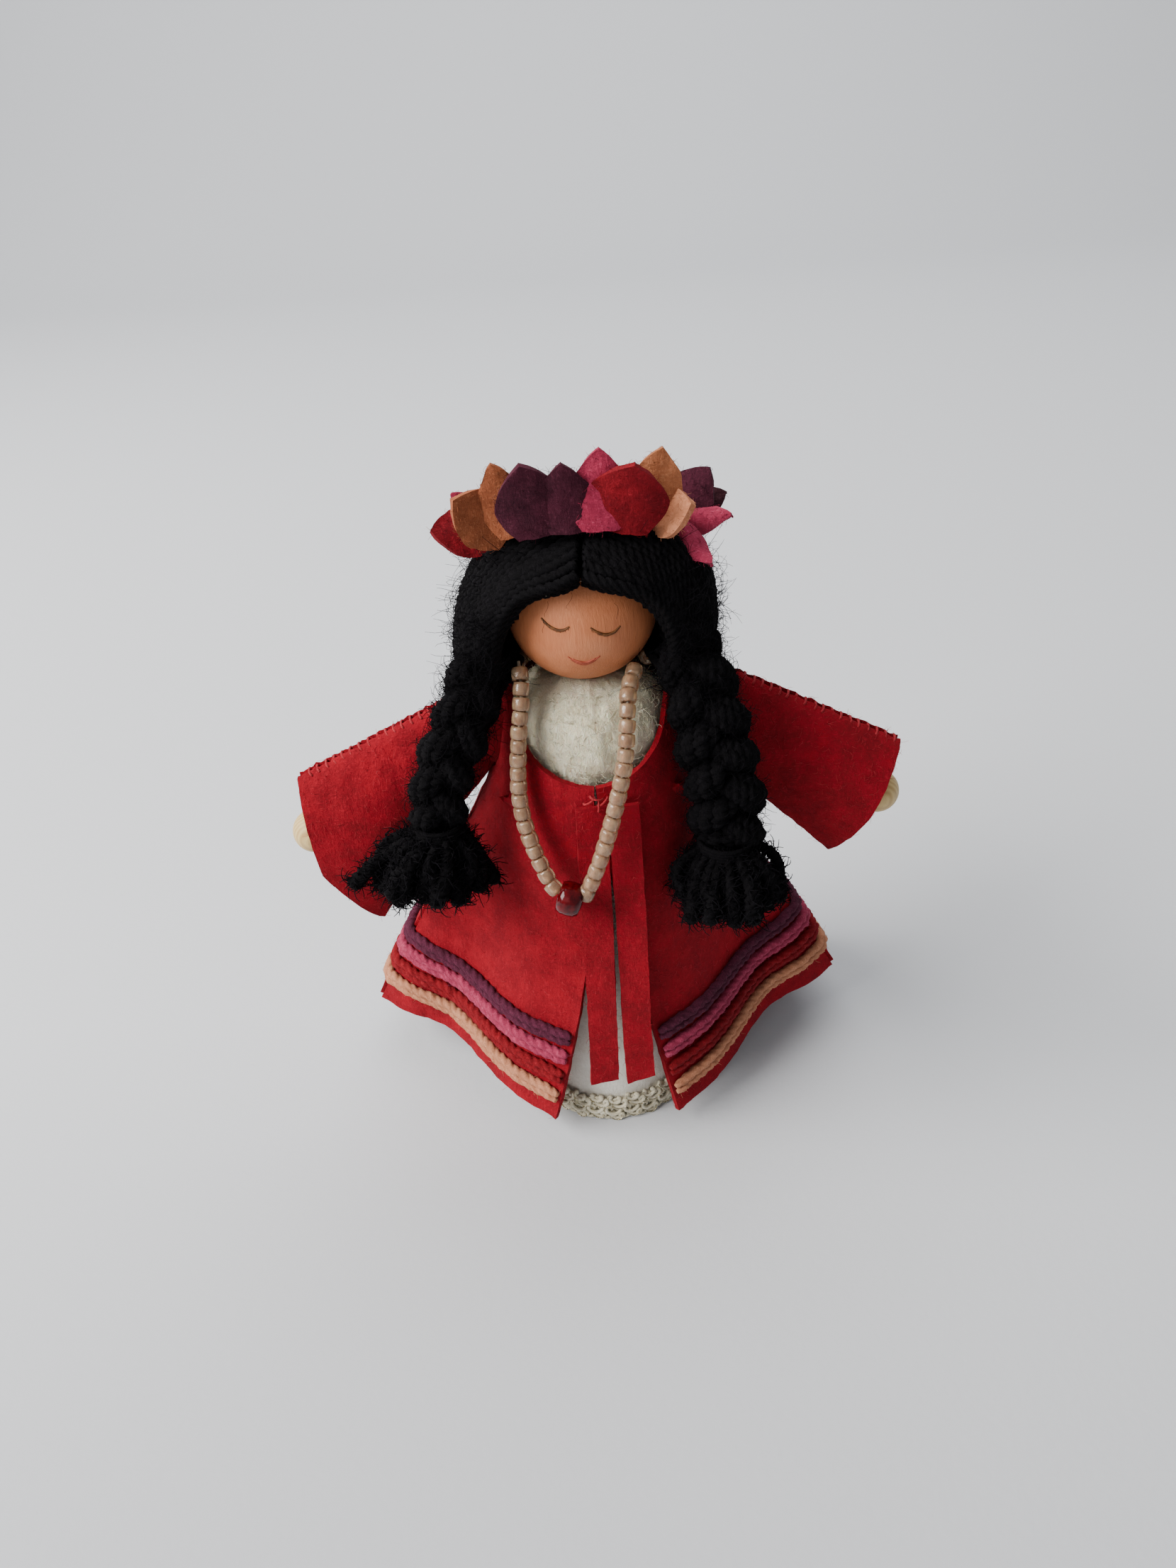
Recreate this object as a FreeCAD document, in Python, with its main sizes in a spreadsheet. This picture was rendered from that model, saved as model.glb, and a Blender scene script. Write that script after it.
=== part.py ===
"""Felt-dressed peg doll: wooden peg and ball head, wool and felt dress, open felt coat with
sleeves on wire arms, yarn hair in two braids, a leaf crown and a bead necklace.

Millimetres, +Z up, origin at the centre of the flat base, front of the doll towards -Y.
"left" and "right" are as seen from the front, so left is -X."""

import FreeCAD, Part

import math
import os

import Sketcher

from FreeCAD import Placement, Rotation, Vector

os.makedirs("parts", exist_ok=True)
doc = FreeCAD.newDocument("PegDoll")

# ---------------------------------------------------------------- driving dimensions

SIZES = {
    # turned wooden peg and head
    "peg_base_radius": 13.5,
    "peg_shoulder_radius": 9.0,
    "peg_shoulder_height": 86.0,
    "neck_radius": 3.0,
    "neck_height": 88.0,
    "neck_top": 98.0,
    "head_radius": 12.5,
    "head_height": 105.0,
    "neck_clearance": 0.05,
    # dress and bodice
    "dress_base_radius": 15.6,
    "dress_top_radius": 11.4,
    "dress_top": 75.5,
    "dress_bottom": 1.0,
    "lining_gap": 0.05,
    "trim_radius": 16.9,
    "trim_top": 6.4,
    "trim_bottom": 0.3,
    "bodice_radius": 13.0,
    "stitch_width": 3.4,
    "stitch_depth": 1.2,
    "stitch_height": 2.2,
    "bodice_top": 92.4,
    # felt
    "felt_thickness": 1.1,
    # wire arms
    "wire_radius": 0.8,
    "wire_hole_radius": 0.85,
    "shoulder_height": 84.0,
    "pivot_reach": 16.3,
    "arm_length": 43.6,
    "arm_drop": 30.0,
    "hand_radius": 4.0,
    "hand_reach": 40.5,
    "sleeve_start": 4.6,
    "sleeve_end": 38.4,
    "sleeve_root_height": 14.0,
    "sleeve_root_depth": 7.2,
    "sleeve_cuff_height": 22.4,
    "sleeve_cuff_depth": 11.4,
    "stitch_pitch": 2.4,
    "stitch_size": 0.5,
    # yarn bands along the coat's hem
    "band_width": 4.2,
    "band_height": 1.9,
    # hair
    "hair_radius": 18.0,
    "hair_depth_shift": 2.0,
    "hair_side_shift": 1.0,
    "hair_lower_edge": 98.0,
    "parting_gap": 0.35,
    "seam_depth": 2.0,
    # leaf crown
    "crown_radius": 14.0,
    "crown_cord_radius": 1.2,
    "crown_height": 117.0,
    "crown_depth_shift": 4.0,
    "crown_tilt": 20.0,
    "leaf_thickness": 1.1,
    # necklace
    "bead_radius": 1.5,
    "bead_length": 2.15,
    "bead_pitch": 2.36,
    "bead_hole_radius": 0.55,
    "thread_radius": 0.25,
    "pendant_radius": 3.0,
    "pendant_length": 4.4,
    # ties
    "tie_width": 5.0,
    "tie_top": 75.2,
    "tie_bottom": 15.8,
}

sheet = doc.addObject("Spreadsheet::Sheet", "Sizes")
for row, (alias, number) in enumerate(SIZES.items(), start=1):
    sheet.set(f"A{row}", alias)
    sheet.set(f"B{row}", str(number))
    sheet.setAlias(f"B{row}", alias)
doc.recompute()


def size(alias):
    """The value that the sheet holds for a driving dimension."""
    return float(sheet.get(alias))


SUBPARTS = []


def subpart(item, label):
    """Give a finished object its label and put it on the list of sub-parts."""
    item.Label = label
    SUBPARTS.append(item)
    return item


def solid_feature(label, shape, placement=None):
    """A sub-part whose shape is set with Part's own functions."""
    item = doc.addObject("Part::Feature", label)
    item.Shape = shape
    if placement is not None:
        item.Placement = placement
    return subpart(item, label)


def bind(item, **expressions):
    """Bind an object's properties to cells of the sheet."""
    for name, expression in expressions.items():
        item.setExpression(name.replace("__", "."), expression)


# ---------------------------------------------------------------- turned pieces


def origin_plane(body, role):
    return next(item for item in body.Origin.OriginFeatures if item.Role == role)


def sketch_polygon(body, name, corners):
    """A closed polygon in the XZ plane. A corner is two expressions on the sheet."""
    sketch = body.newObject("Sketcher::SketchObject", name)
    sketch.AttachmentSupport = [(origin_plane(body, "XZ_Plane"), "")]
    sketch.MapMode = "FlatFace"
    points = [Vector(evaluate(across), evaluate(up), 0) for across, up in corners]
    count = len(points)
    for index in range(count):
        sketch.addGeometry(Part.LineSegment(points[index], points[(index + 1) % count]), False)
    for index in range(count):
        after = (index + 1) % count
        sketch.addConstraint(rule("Coincident", index, 2, after, 1))
    for index, (across, up) in enumerate(corners):
        hold_coordinate(sketch, "DistanceX", index, across, -2)
        hold_coordinate(sketch, "DistanceY", index, up, -1)
    return sketch


def evaluate(expression):
    """The number that a sum or difference of cells and numbers gives."""
    total = 0.0
    for term in expression.replace("-", "+-").split("+"):
        term = term.strip()
        if not term:
            continue
        sign = -1.0 if term.startswith("-") else 1.0
        name = term.lstrip("- ").replace("Sizes.", "")
        total += sign * (size(name) if name in SIZES else float(name))
    return total


def rule(*values):
    return Sketcher.Constraint(*values)


def hold_coordinate(sketch, kind, index, expression, axis):
    """Tie one coordinate of a corner to the sheet, or to the axis where it is nothing."""
    if expression == "0":
        sketch.addConstraint(rule("PointOnObject", index, 1, axis))
        return
    number = sketch.addConstraint(
        rule(kind, -1, 1, index, 1, evaluate(expression))
    )
    sketch.setExpression(f"Constraints[{number}]", expression)


def turned_body(label, corners):
    """A piece turned about the Z axis from a polygon."""
    body = doc.addObject("PartDesign::Body", label)
    sketch = sketch_polygon(body, label + "_outline", corners)
    turning = body.newObject("PartDesign::Revolution", label + "_turning")
    turning.Profile = sketch
    turning.ReferenceAxis = (sketch, ["V_Axis"])
    turning.Angle = 360.0
    doc.recompute()
    return body


def drill_across(body, label, height, radius):
    """A hole along X right through a turned body."""
    sketch = body.newObject("Sketcher::SketchObject", label)
    sketch.AttachmentSupport = [(origin_plane(body, "YZ_Plane"), "")]
    sketch.MapMode = "FlatFace"
    centre = Vector(0, size(height), 0)
    sketch.addGeometry(Part.Circle(centre, Vector(0, 0, 1), size(radius)), False)
    sketch.addConstraint(rule("PointOnObject", 0, 3, -2))
    lift = sketch.addConstraint(rule("DistanceY", -1, 1, 0, 3, size(height)))
    sketch.setExpression(f"Constraints[{lift}]", "Sizes." + height)
    girth = sketch.addConstraint(rule("Radius", 0, size(radius)))
    sketch.setExpression(f"Constraints[{girth}]", "Sizes." + radius)
    pocket = body.newObject("PartDesign::Pocket", label + "_pocket")
    pocket.Profile = sketch
    pocket.Type = "ThroughAll"
    pocket.Midplane = True
    doc.recompute()
    return pocket


def make_peg():
    body = turned_body(
        "peg_body",
        [
            ("0", "0"),
            ("Sizes.peg_base_radius", "0"),
            ("Sizes.peg_shoulder_radius", "Sizes.peg_shoulder_height"),
            ("Sizes.neck_radius", "Sizes.neck_height"),
            ("Sizes.neck_radius", "Sizes.neck_top"),
            ("0", "Sizes.neck_top"),
        ],
    )
    drill_across(body, "wire_hole", "shoulder_height", "wire_hole_radius")
    subpart(body, "peg_body")


def make_head():
    """The ball head, bored from below for the peg's neck."""
    ball = doc.addObject("Part::Sphere", "head_sphere")
    bind(ball, Radius="Sizes.head_radius", Placement__Base__z="Sizes.head_height")
    bore = doc.addObject("Part::Cylinder", "neck_bore")
    bind(
        bore,
        Radius="Sizes.neck_radius + Sizes.neck_clearance",
        Height="Sizes.neck_top - Sizes.neck_height + Sizes.neck_clearance",
        Placement__Base__z="Sizes.neck_height",
    )
    head = doc.addObject("Part::Cut", "head_cut")
    head.Base = ball
    head.Tool = bore
    subpart(head, "head_ball")


def peg_radius(height):
    """Radius of the peg's tapered body at a height."""
    taper = size("peg_base_radius") - size("peg_shoulder_radius")
    return size("peg_base_radius") - taper * height / size("peg_shoulder_height")


def dress_radius(height):
    """Outer radius of the felt dress at a height."""
    low, high = size("dress_bottom"), size("dress_top")
    share = (height - low) / (high - low)
    return size("dress_base_radius") + share * (size("dress_top_radius") - size("dress_base_radius"))


def turned_ring(points, curved=0):
    """A solid of revolution from points (radius, height). The first `curved` points are
    joined by one smooth curve and the rest by straight lines."""
    corners = [Vector(radius, 0, height) for radius, height in points]
    edges = []
    if curved:
        curve = Part.BSplineCurve()
        curve.interpolate(corners[:curved])
        edges.append(curve.toShape())
    rest = corners[max(curved - 1, 0):] + [corners[0]]
    edges += [Part.makeLine(a, b) for a, b in zip(rest, rest[1:])]
    return Part.Face(Part.Wire(edges)).revolve(Vector(), Vector(0, 0, 1), 360)


def make_dress():
    """Felt skirt on the peg, the crocheted trim round its hem and the wool bodice over it."""
    gap = size("lining_gap")
    low, high = size("dress_bottom"), size("dress_top")
    skirt = turned_ring(
        [
            (dress_radius(low), low),
            (dress_radius(high), high),
            (peg_radius(high) + gap, high),
            (peg_radius(low) + gap, low),
        ]
    )
    solid_feature("felt_dress", skirt)
    bottom, top = size("trim_bottom"), size("trim_top")
    inner = size("dress_base_radius") + gap
    outer = size("trim_radius")
    belly = (bottom + top) / 2
    trim = turned_ring(
        [(inner + 0.5, bottom), (outer, belly), (inner + 0.4, top), (inner, top), (inner, bottom)],
        curved=3,
    )
    solid_feature("hem_trim", trim)
    widest = size("bodice_radius")
    foot = high + gap
    crest = size("bodice_top")
    shoulder = size("peg_shoulder_height")
    bodice = turned_ring(
        [
            (dress_radius(high), foot),
            (widest - 0.3, foot + 4.5),
            (widest, foot + 9.0),
            (widest - 1.3, foot + 13.5),
            (widest - 4.5, crest - 0.6),
            (size("neck_radius") + 2.0, crest),
            (size("neck_radius") + gap, crest),
            (size("neck_radius") + gap, size("neck_height") + gap),
            (peg_radius(shoulder) + gap, shoulder + gap),
            (peg_radius(foot) + gap, foot),
        ],
        curved=6,
    )
    hole = Part.makeCylinder(
        size("wire_hole_radius"),
        4 * widest,
        Vector(-2 * widest, 0, size("shoulder_height")),
        Vector(1, 0, 0),
    )
    solid_feature("wool_bodice", bodice.cut(hole))


# ---------------------------------------------------------------- felt sheets


def grid_normals(grid):
    """Unit normals of a grid of points, from the directions along its rows and columns."""
    rows, columns = len(grid), len(grid[0])
    normals = []
    for i in range(rows):
        line = []
        for j in range(columns):
            down = grid[min(i + 1, rows - 1)][j] - grid[max(i - 1, 0)][j]
            along = grid[i][min(j + 1, columns - 1)] - grid[i][max(j - 1, 0)]
            normal = along.cross(down)
            normal.normalize()
            line.append(normal)
        normals.append(line)
    return normals


def clamped_knots(count, degree):
    """Evenly spaced knots and their multiplicities for a clamped spline."""
    spans = count - degree
    return list(range(spans + 1)), [degree + 1] + [1] * (spans - 1) + [degree + 1]


def spline_face(grid):
    """A smooth face that a grid of control points shapes."""
    degrees = [min(3, len(grid) - 1), min(3, len(grid[0]) - 1)]
    row_knots, row_counts = clamped_knots(len(grid), degrees[0])
    column_knots, column_counts = clamped_knots(len(grid[0]), degrees[1])
    surface = Part.BSplineSurface()
    surface.buildFromPolesMultsKnots(
        grid, row_counts, column_counts, row_knots, column_knots, False, False, *degrees
    )
    return surface.toShape()


def felt_sheet(grid, near, far):
    """A closed sheet between two offsets of a grid, along the grid's normals."""
    normals = grid_normals(grid)

    def moved(distance):
        return [
            [point + normal * distance for point, normal in zip(points, line)]
            for points, line in zip(grid, normals)
        ]

    lower, upper = spline_face(moved(near)), spline_face(moved(far))
    sides = [
        Part.makeRuledSurface(edge, match_edge(edge, upper)) for edge in lower.Edges
    ]
    shell = Part.makeShell([lower, upper] + sides)
    shell.sewShape()
    solid = Part.Solid(Part.Shell(shell.Faces))
    if solid.Volume < 0:
        solid.reverse()
    solid.fix(0.01, 0.01, 0.01)
    return solid


def match_edge(edge, face):
    """The edge of a face that lies nearest to an edge, end for end."""
    middle = edge.valueAt((edge.FirstParameter + edge.LastParameter) / 2)
    return min(
        face.Edges,
        key=lambda other: middle.distanceToPoint(
            other.valueAt((other.FirstParameter + other.LastParameter) / 2)
        ),
    )


def along(points, place):
    """The point at a place from 0 to 1 along a list of (place, point) stations."""
    for (start, first), (stop, second) in zip(points, points[1:]):
        if place <= stop:
            share = (place - start) / (stop - start)
            return first + (second - first) * share
    return points[-1][1]


# Half of the coat, from the front opening round to the middle of the back. Each station has
# its place from 0 to 2 (1 is the side seam) and its points at four levels: over the shoulder,
# at the chest, under the arm and at the hem.
COAT_STATIONS = [
    (0.00, (0.3, -8.6, 93.6), (0.3, -14.0, 84.0), (0.5, -14.6, 72.8), (11.5, -19.0, 4.6)),
    (0.20, (5.0, -7.6, 93.6), (5.5, -13.3, 84.0), (6.4, -13.8, 72.8), (19.0, -13.0, 6.0)),
    (0.40, (9.0, -5.6, 93.4), (9.8, -10.9, 84.0), (11.2, -11.2, 72.8), (26.5, -4.0, 7.8)),
    (0.60, (12.0, -3.4, 92.8), (12.9, -7.3, 84.0), (14.4, -7.6, 72.8), (33.0, 3.6, 9.4)),
    (0.80, (14.0, -1.5, 92.0), (14.6, -3.7, 84.0), (16.2, -3.8, 72.8), (40.0, 7.2, 11.0)),
    (1.00, (15.0, -0.2, 91.4), (15.4, -0.2, 84.0), (17.2, -0.2, 72.8), (47.8, 11.4, 12.0)),
    (1.00, (15.0, 0.2, 91.4), (15.4, 0.2, 84.0), (17.2, 0.2, 72.8), (47.8, 12.1, 12.0)),
    (1.20, (14.0, 1.8, 92.0), (14.6, 4.0, 84.0), (16.4, 4.6, 72.8), (46.6, 23.0, 11.0)),
    (1.40, (12.0, 4.4, 92.9), (12.9, 8.4, 84.0), (14.4, 9.6, 72.8), (41.0, 32.0, 10.0)),
    (1.60, (9.0, 8.8, 93.5), (9.8, 11.9, 84.0), (11.2, 13.6, 72.8), (28.0, 36.0, 8.8)),
    (1.80, (5.0, 11.6, 93.7), (5.5, 14.0, 84.0), (6.4, 16.0, 72.8), (13.5, 35.6, 7.8)),
    (2.00, (0.0, 12.8, 93.8), (0.0, 14.8, 84.0), (0.0, 17.0, 72.8), (0.0, 37.0, 7.4)),
]
FRONT_STATIONS = COAT_STATIONS[:6]
BACK_STATIONS = COAT_STATIONS[6:]
COAT_LEVELS = [0, 0.5, 1, 1.5, 2, 2.33, 2.67, 3]
COAT_COLUMNS = 9


def coat_point(stations, place, level):
    """A point of half the coat at a place round it and a level from 0 (shoulder) to 3 (hem)."""
    upper = min(int(level), 2)
    lower = upper + 1
    high = along([(station[0], Vector(*station[1 + upper])) for station in stations], place)
    low = along([(station[0], Vector(*station[1 + lower])) for station in stations], place)
    return high + (low - high) * (level - upper)


def coat_grid(front, side, levels):
    """Points of one panel. side is 1 for +X and -1 for -X."""
    stations = FRONT_STATIONS if front else BACK_STATIONS
    start, stop = stations[0][0], stations[-1][0]
    rows = []
    for level in levels:
        row = []
        for step in range(COAT_COLUMNS):
            place = start + (stop - start) * step / (COAT_COLUMNS - 1)
            point = coat_point(stations, place, level)
            row.append(Vector(side * point.x, point.y, point.z))
        rows.append(row if side > 0 else row[::-1])
    return rows


def joined_back(levels):
    """The back panel, from the left side seam to the right one."""
    left = [row[::-1] for row in coat_grid(False, -1, levels)]
    right = coat_grid(False, 1, levels)
    return [left_row[:-1] + right_row[::-1] for left_row, right_row in zip(left, right)]


def even(count):
    return [step / (count - 1) for step in range(count)]


def neck_cutter():
    """The U of the neckline: a rounded prism through the front, and a round hole for the neck."""
    low, half, shoulder, above, clear = 78.4, 12.6, 90.5, 110, -60
    corners = [
        Vector(half, clear, above),
        Vector(half, clear, shoulder),
        Vector(0, clear, low),
        Vector(-half, clear, shoulder),
        Vector(-half, clear, above),
    ]
    outline = [
        Part.makeLine(corners[0], corners[1]),
        Part.Arc(corners[1], Vector(0.76 * half, clear, 82.4), corners[2]).toShape(),
        Part.Arc(corners[2], Vector(-0.76 * half, clear, 82.4), corners[3]).toShape(),
        Part.makeLine(corners[3], corners[4]),
        Part.makeLine(corners[4], corners[0]),
    ]
    prism = Part.Face(Part.Wire(outline)).extrude(Vector(0, 58, 0))
    neck = Part.makeCylinder(11.8, 40, Vector(0, -0.4, 80))
    return prism.fuse(neck)


def armhole_cutter(side):
    """An upright oval through the coat's side, where the sleeve starts."""
    rim = Part.Ellipse(Vector(), 10.4, 5.4).toShape()
    hole = Part.Face(Part.Wire(rim)).extrude(Vector(0, 0, 12))
    foot = Vector(side * 13.0, 0, size("shoulder_height") - 2.0)
    hole.Placement = Placement(foot, Rotation(Vector(0, 0, 1), Vector(0, 1, 0), Vector(side, 0, 0), "ZXY"))
    return hole


def make_coat():
    felt = size("felt_thickness")
    openings = neck_cutter().fuse([armhole_cutter(1), armhole_cutter(-1)])
    panels = {
        "coat_right_front": felt_sheet(coat_grid(True, 1, COAT_LEVELS), 0, -felt),
        "coat_left_front": felt_sheet(coat_grid(True, -1, COAT_LEVELS), 0, -felt),
        "coat_back": felt_sheet(joined_back(COAT_LEVELS), 0, felt),
    }
    for label, panel in panels.items():
        solid_feature(label, panel.cut(openings))


BANDS = {"plum": 23.6, "pink": 18.5, "red": 13.3, "peach": 8.0}
HEM_FALL = 69.5
HEM_LEVEL = 3


def make_bands():
    """Four lengths of chained yarn, each laid on the coat from one front edge round to the other."""
    felt, width, height = size("felt_thickness"), size("band_width"), size("band_height")
    near = felt + 0.1
    for colour, rise in BANDS.items():
        middle = HEM_LEVEL - rise / HEM_FALL
        half = width / 2 / HEM_FALL
        levels = [middle - half, middle, middle + half]
        pieces = [
            felt_sheet(coat_grid(True, 1, levels), -near, -near - height),
            felt_sheet(coat_grid(True, -1, levels), -near, -near - height),
            felt_sheet(joined_back(levels), near, near + height),
        ]
        solid_feature("hem_band_" + colour, Part.makeCompound(pieces))


# ---------------------------------------------------------------- arms


def arm_frame(side):
    """Pivot point, direction along the arm and direction across it, upwards."""
    fall = math.radians(size("arm_drop"))
    pivot = Vector(side * size("pivot_reach"), 0, size("shoulder_height"))
    direction = Vector(side * math.cos(fall), 0, -math.sin(fall))
    across = Vector(side * math.sin(fall), 0, math.cos(fall))
    return pivot, direction, across


def arm_placement(side, reach):
    """Placement that lays +Z along an arm, at a reach from the pivot."""
    pivot, direction, _ = arm_frame(side)
    return Placement(pivot + direction * reach, Rotation(Vector(0, 0, 1), direction))


def ellipse_wire(centre, direction, across, tall, deep):
    """An ellipse across a direction, `tall` along `across` and `deep` along Y."""
    rim = Part.Ellipse(Vector(), tall / 2, deep / 2).toShape()
    rotation = Rotation(across, direction.cross(across), direction, "ZXY")
    rim.Placement = Placement(centre, rotation)
    return Part.Wire(rim)


def sleeve_shape(side):
    """An open bell sleeve: narrow at the shoulder, wide at the cuff."""
    pivot, direction, across = arm_frame(side)
    felt = size("felt_thickness")

    def section(reach, wall):
        start, end = size("sleeve_start"), size("sleeve_end")
        share = (reach - start) / (end - start)
        root_tall, cuff_tall = size("sleeve_root_height"), size("sleeve_cuff_height")
        root_deep, cuff_deep = size("sleeve_root_depth"), size("sleeve_cuff_depth")
        tall = root_tall + (cuff_tall - root_tall) * share - 2 * wall
        deep = root_deep + (cuff_deep - root_deep) * share - 2 * wall
        return ellipse_wire(pivot + direction * reach, direction, across, tall, deep)

    start, end = size("sleeve_start"), size("sleeve_end")
    outer = Part.makeLoft([section(start, 0), section(end, 0)], True, True)
    inner = Part.makeLoft([section(start - 1, felt), section(end + 1, felt)], True, True)
    return outer.cut(inner)


def make_shoulder_wire():
    wire = doc.addObject("Part::Cylinder", "shoulder_wire")
    bind(
        wire,
        Radius="Sizes.wire_radius",
        Height="2 * (Sizes.pivot_reach - Sizes.wire_radius)",
        Placement__Base__x="-(Sizes.pivot_reach - Sizes.wire_radius)",
        Placement__Base__z="Sizes.shoulder_height",
    )
    wire.Placement = Placement(wire.Placement.Base, Rotation(Vector(0, 1, 0), 90))
    subpart(wire, "shoulder_wire")


def make_arm(side, name):
    wire = doc.addObject("Part::Cylinder", name + "_arm_wire")
    bind(wire, Radius="Sizes.wire_radius", Height="Sizes.arm_length")
    wire.Placement = arm_placement(side, 0.3)
    subpart(wire, name + "_arm_wire")

    ball = doc.addObject("Part::Sphere", name + "_hand_sphere")
    bind(ball, Radius="Sizes.hand_radius")
    bore = doc.addObject("Part::Cylinder", name + "_hand_bore")
    bind(
        bore,
        Radius="Sizes.wire_hole_radius",
        Height="4 * Sizes.hand_radius",
        Placement__Base__z="-2 * Sizes.hand_radius",
    )
    hand = doc.addObject("Part::Cut", name + "_hand_cut")
    hand.Base = ball
    hand.Tool = bore
    hand.Placement = arm_placement(side, size("hand_reach"))
    subpart(hand, name + "_hand_bead")

    solid_feature(name + "_sleeve", sleeve_shape(side))
    solid_feature(name + "_sleeve_stitches", sleeve_stitches(side))


def sleeve_stitches(side):
    """Whip stitches in a row over the sleeve's top edge."""
    pivot, direction, across = arm_frame(side)
    start, end, pitch = size("sleeve_start"), size("sleeve_end"), size("stitch_pitch")
    thick = size("stitch_size")
    count = int((end - start) / pitch)
    stitches = []
    for number in range(count):
        reach = start + pitch * (number + 0.5)
        share = (reach - start) / (end - start)
        rise = (size("sleeve_root_height") * (1 - share) + size("sleeve_cuff_height") * share) / 2
        slant = pitch / 2 * (size("sleeve_cuff_height") - size("sleeve_root_height")) / 2 / (end - start)
        stitch = Part.makeBox(thick, 4 * thick, thick, Vector(-thick / 2, -2 * thick, 0))
        foot = pivot + direction * reach + across * (rise + slant)
        stitch.Placement = Placement(foot, Rotation(direction, Vector(0, 1, 0), across, "ZXY"))
        stitches.append(stitch)
    return Part.makeCompound(stitches)


# ---------------------------------------------------------------- hair

LEFT_BRAID = [
    ((-16.5, -5.5, 100.0), 4.3),
    ((-19.6, -9.6, 91.0), 4.7),
    ((-23.4, -11.3, 81.5), 4.8),
    ((-26.4, -12.2, 72.4), 4.3),
]
RIGHT_BRAID = [
    ((15.8, -6.3, 100.5), 5.0),
    ((18.6, -10.4, 91.5), 5.9),
    ((20.4, -12.2, 82.0), 6.1),
    ((22.0, -13.4, 74.0), 6.1),
    ((21.8, -14.0, 66.4), 5.2),
]
BRAID_TIE_HEIGHT = 1.6
LEFT_TASSEL = [
    ((-26.9, -12.4, 70.6), 4.2, 4.0),
    ((-28.4, -12.9, 64.0), 8.0, 5.4),
    ((-29.6, -13.1, 55.6), 10.6, 5.6),
]
RIGHT_TASSEL = [
    ((21.8, -14.4, 64.6), 5.0, 4.8),
    ((22.4, -16.4, 58.4), 8.6, 5.6),
    ((22.8, -18.2, 50.8), 10.2, 5.8),
]


def round_wire(centre, direction, radius):
    return Part.Wire(Part.makeCircle(radius, centre, direction))


def braid_shape(stations):
    """A tapered round column through the braid's stations."""
    centres = [Vector(*centre) for centre, radius in stations]
    wires = []
    for index, (_, radius) in enumerate(stations):
        before = centres[max(index - 1, 0)]
        after = centres[min(index + 1, len(centres) - 1)]
        wires.append(round_wire(centres[index], after - before, radius))
    return Part.makeLoft(wires, True, False)


def tassel_shape(stations):
    """Loose yarn ends that spread sideways below the tie."""
    wires = []
    for centre, wide, deep in stations:
        rim = Part.Ellipse(Vector(*centre), wide, deep).toShape()
        wires.append(Part.Wire(rim))
    return Part.makeLoft(wires, True, False)


def make_braid(name, braid, tassel):
    solid_feature(name + "_braid", braid_shape(braid))
    solid_feature(name + "_tassel", tassel_shape(tassel))
    (x, y, z), wide, deep = tassel[0]
    radius = min(wide, deep) - 0.2
    knot = Part.makeCylinder(radius, BRAID_TIE_HEIGHT, Vector(x, y, z + 0.1))
    solid_feature(name + "_braid_tie", knot.cut(braid_shape(braid)))


FACE_VIEW = 24.0
FACE_OPENING = [
    (0.0, 3.2), (4.0, 2.4), (8.0, 0.6), (11.4, -1.8), (13.4, -4.6), (13.4, -24.0),
]


def face_cutter():
    """A prism in front of the face, open below the chin, that shapes the hairline."""
    tilt = math.radians(FACE_VIEW)
    outward = Vector(0, -math.cos(tilt), math.sin(tilt))
    upward = Vector(0, math.sin(tilt), math.cos(tilt))
    centre = Vector(0, 0, size("head_height"))
    outline = FACE_OPENING + [(-across, up) for across, up in FACE_OPENING[:0:-1]]
    corners = [centre + Vector(across, 0, 0) + upward * up for across, up in outline]
    return Part.Face(Part.makePolygon(corners + corners[:1])).extrude(outward * 40)


def crown_ring(cord_radius):
    """The crown's cord: a ring tilted up at the front."""
    ring = Part.makeTorus(size("crown_radius"), cord_radius)
    ring.Placement = crown_placement()
    return ring


def make_hair():
    """A thick cap of yarn in two halves, with the parting seam between them."""
    centre = Vector(size("hair_side_shift"), size("hair_depth_shift"), size("head_height"))
    cap = Part.makeSphere(size("hair_radius"), centre)
    head = Part.makeSphere(size("head_radius") + size("lining_gap"), Vector(0, 0, size("head_height")))
    below = Part.makeBox(80, 80, 60, Vector(-40, -40, size("hair_lower_edge") - 60))
    cap = cap.cut(head).cut(below).cut(face_cutter())
    cap = cap.cut(crown_ring(size("crown_cord_radius") + size("lining_gap")))
    for stations in (LEFT_BRAID, RIGHT_BRAID):
        (pivot, radius) = stations[0]
        cap = cap.cut(Part.makeSphere(radius + 1.3, Vector(*pivot)))
    gap = size("parting_gap")
    for name, side in (("left", -1), ("right", 1)):
        start = gap if side > 0 else -60 - gap
        half = Part.makeBox(60, 80, 80, Vector(start, -40, 80))
        solid_feature(f"hair_{name}_half", cap.common(half))
    seam = Part.makeBox(2 * gap - 0.1, 80, 80, Vector(-gap + 0.05, -40, 80))
    deep = Part.makeSphere(size("hair_radius") - size("seam_depth"), centre)
    solid_feature("parting_seam", cap.cut(deep).common(seam))


# ---------------------------------------------------------------- leaf crown

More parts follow.
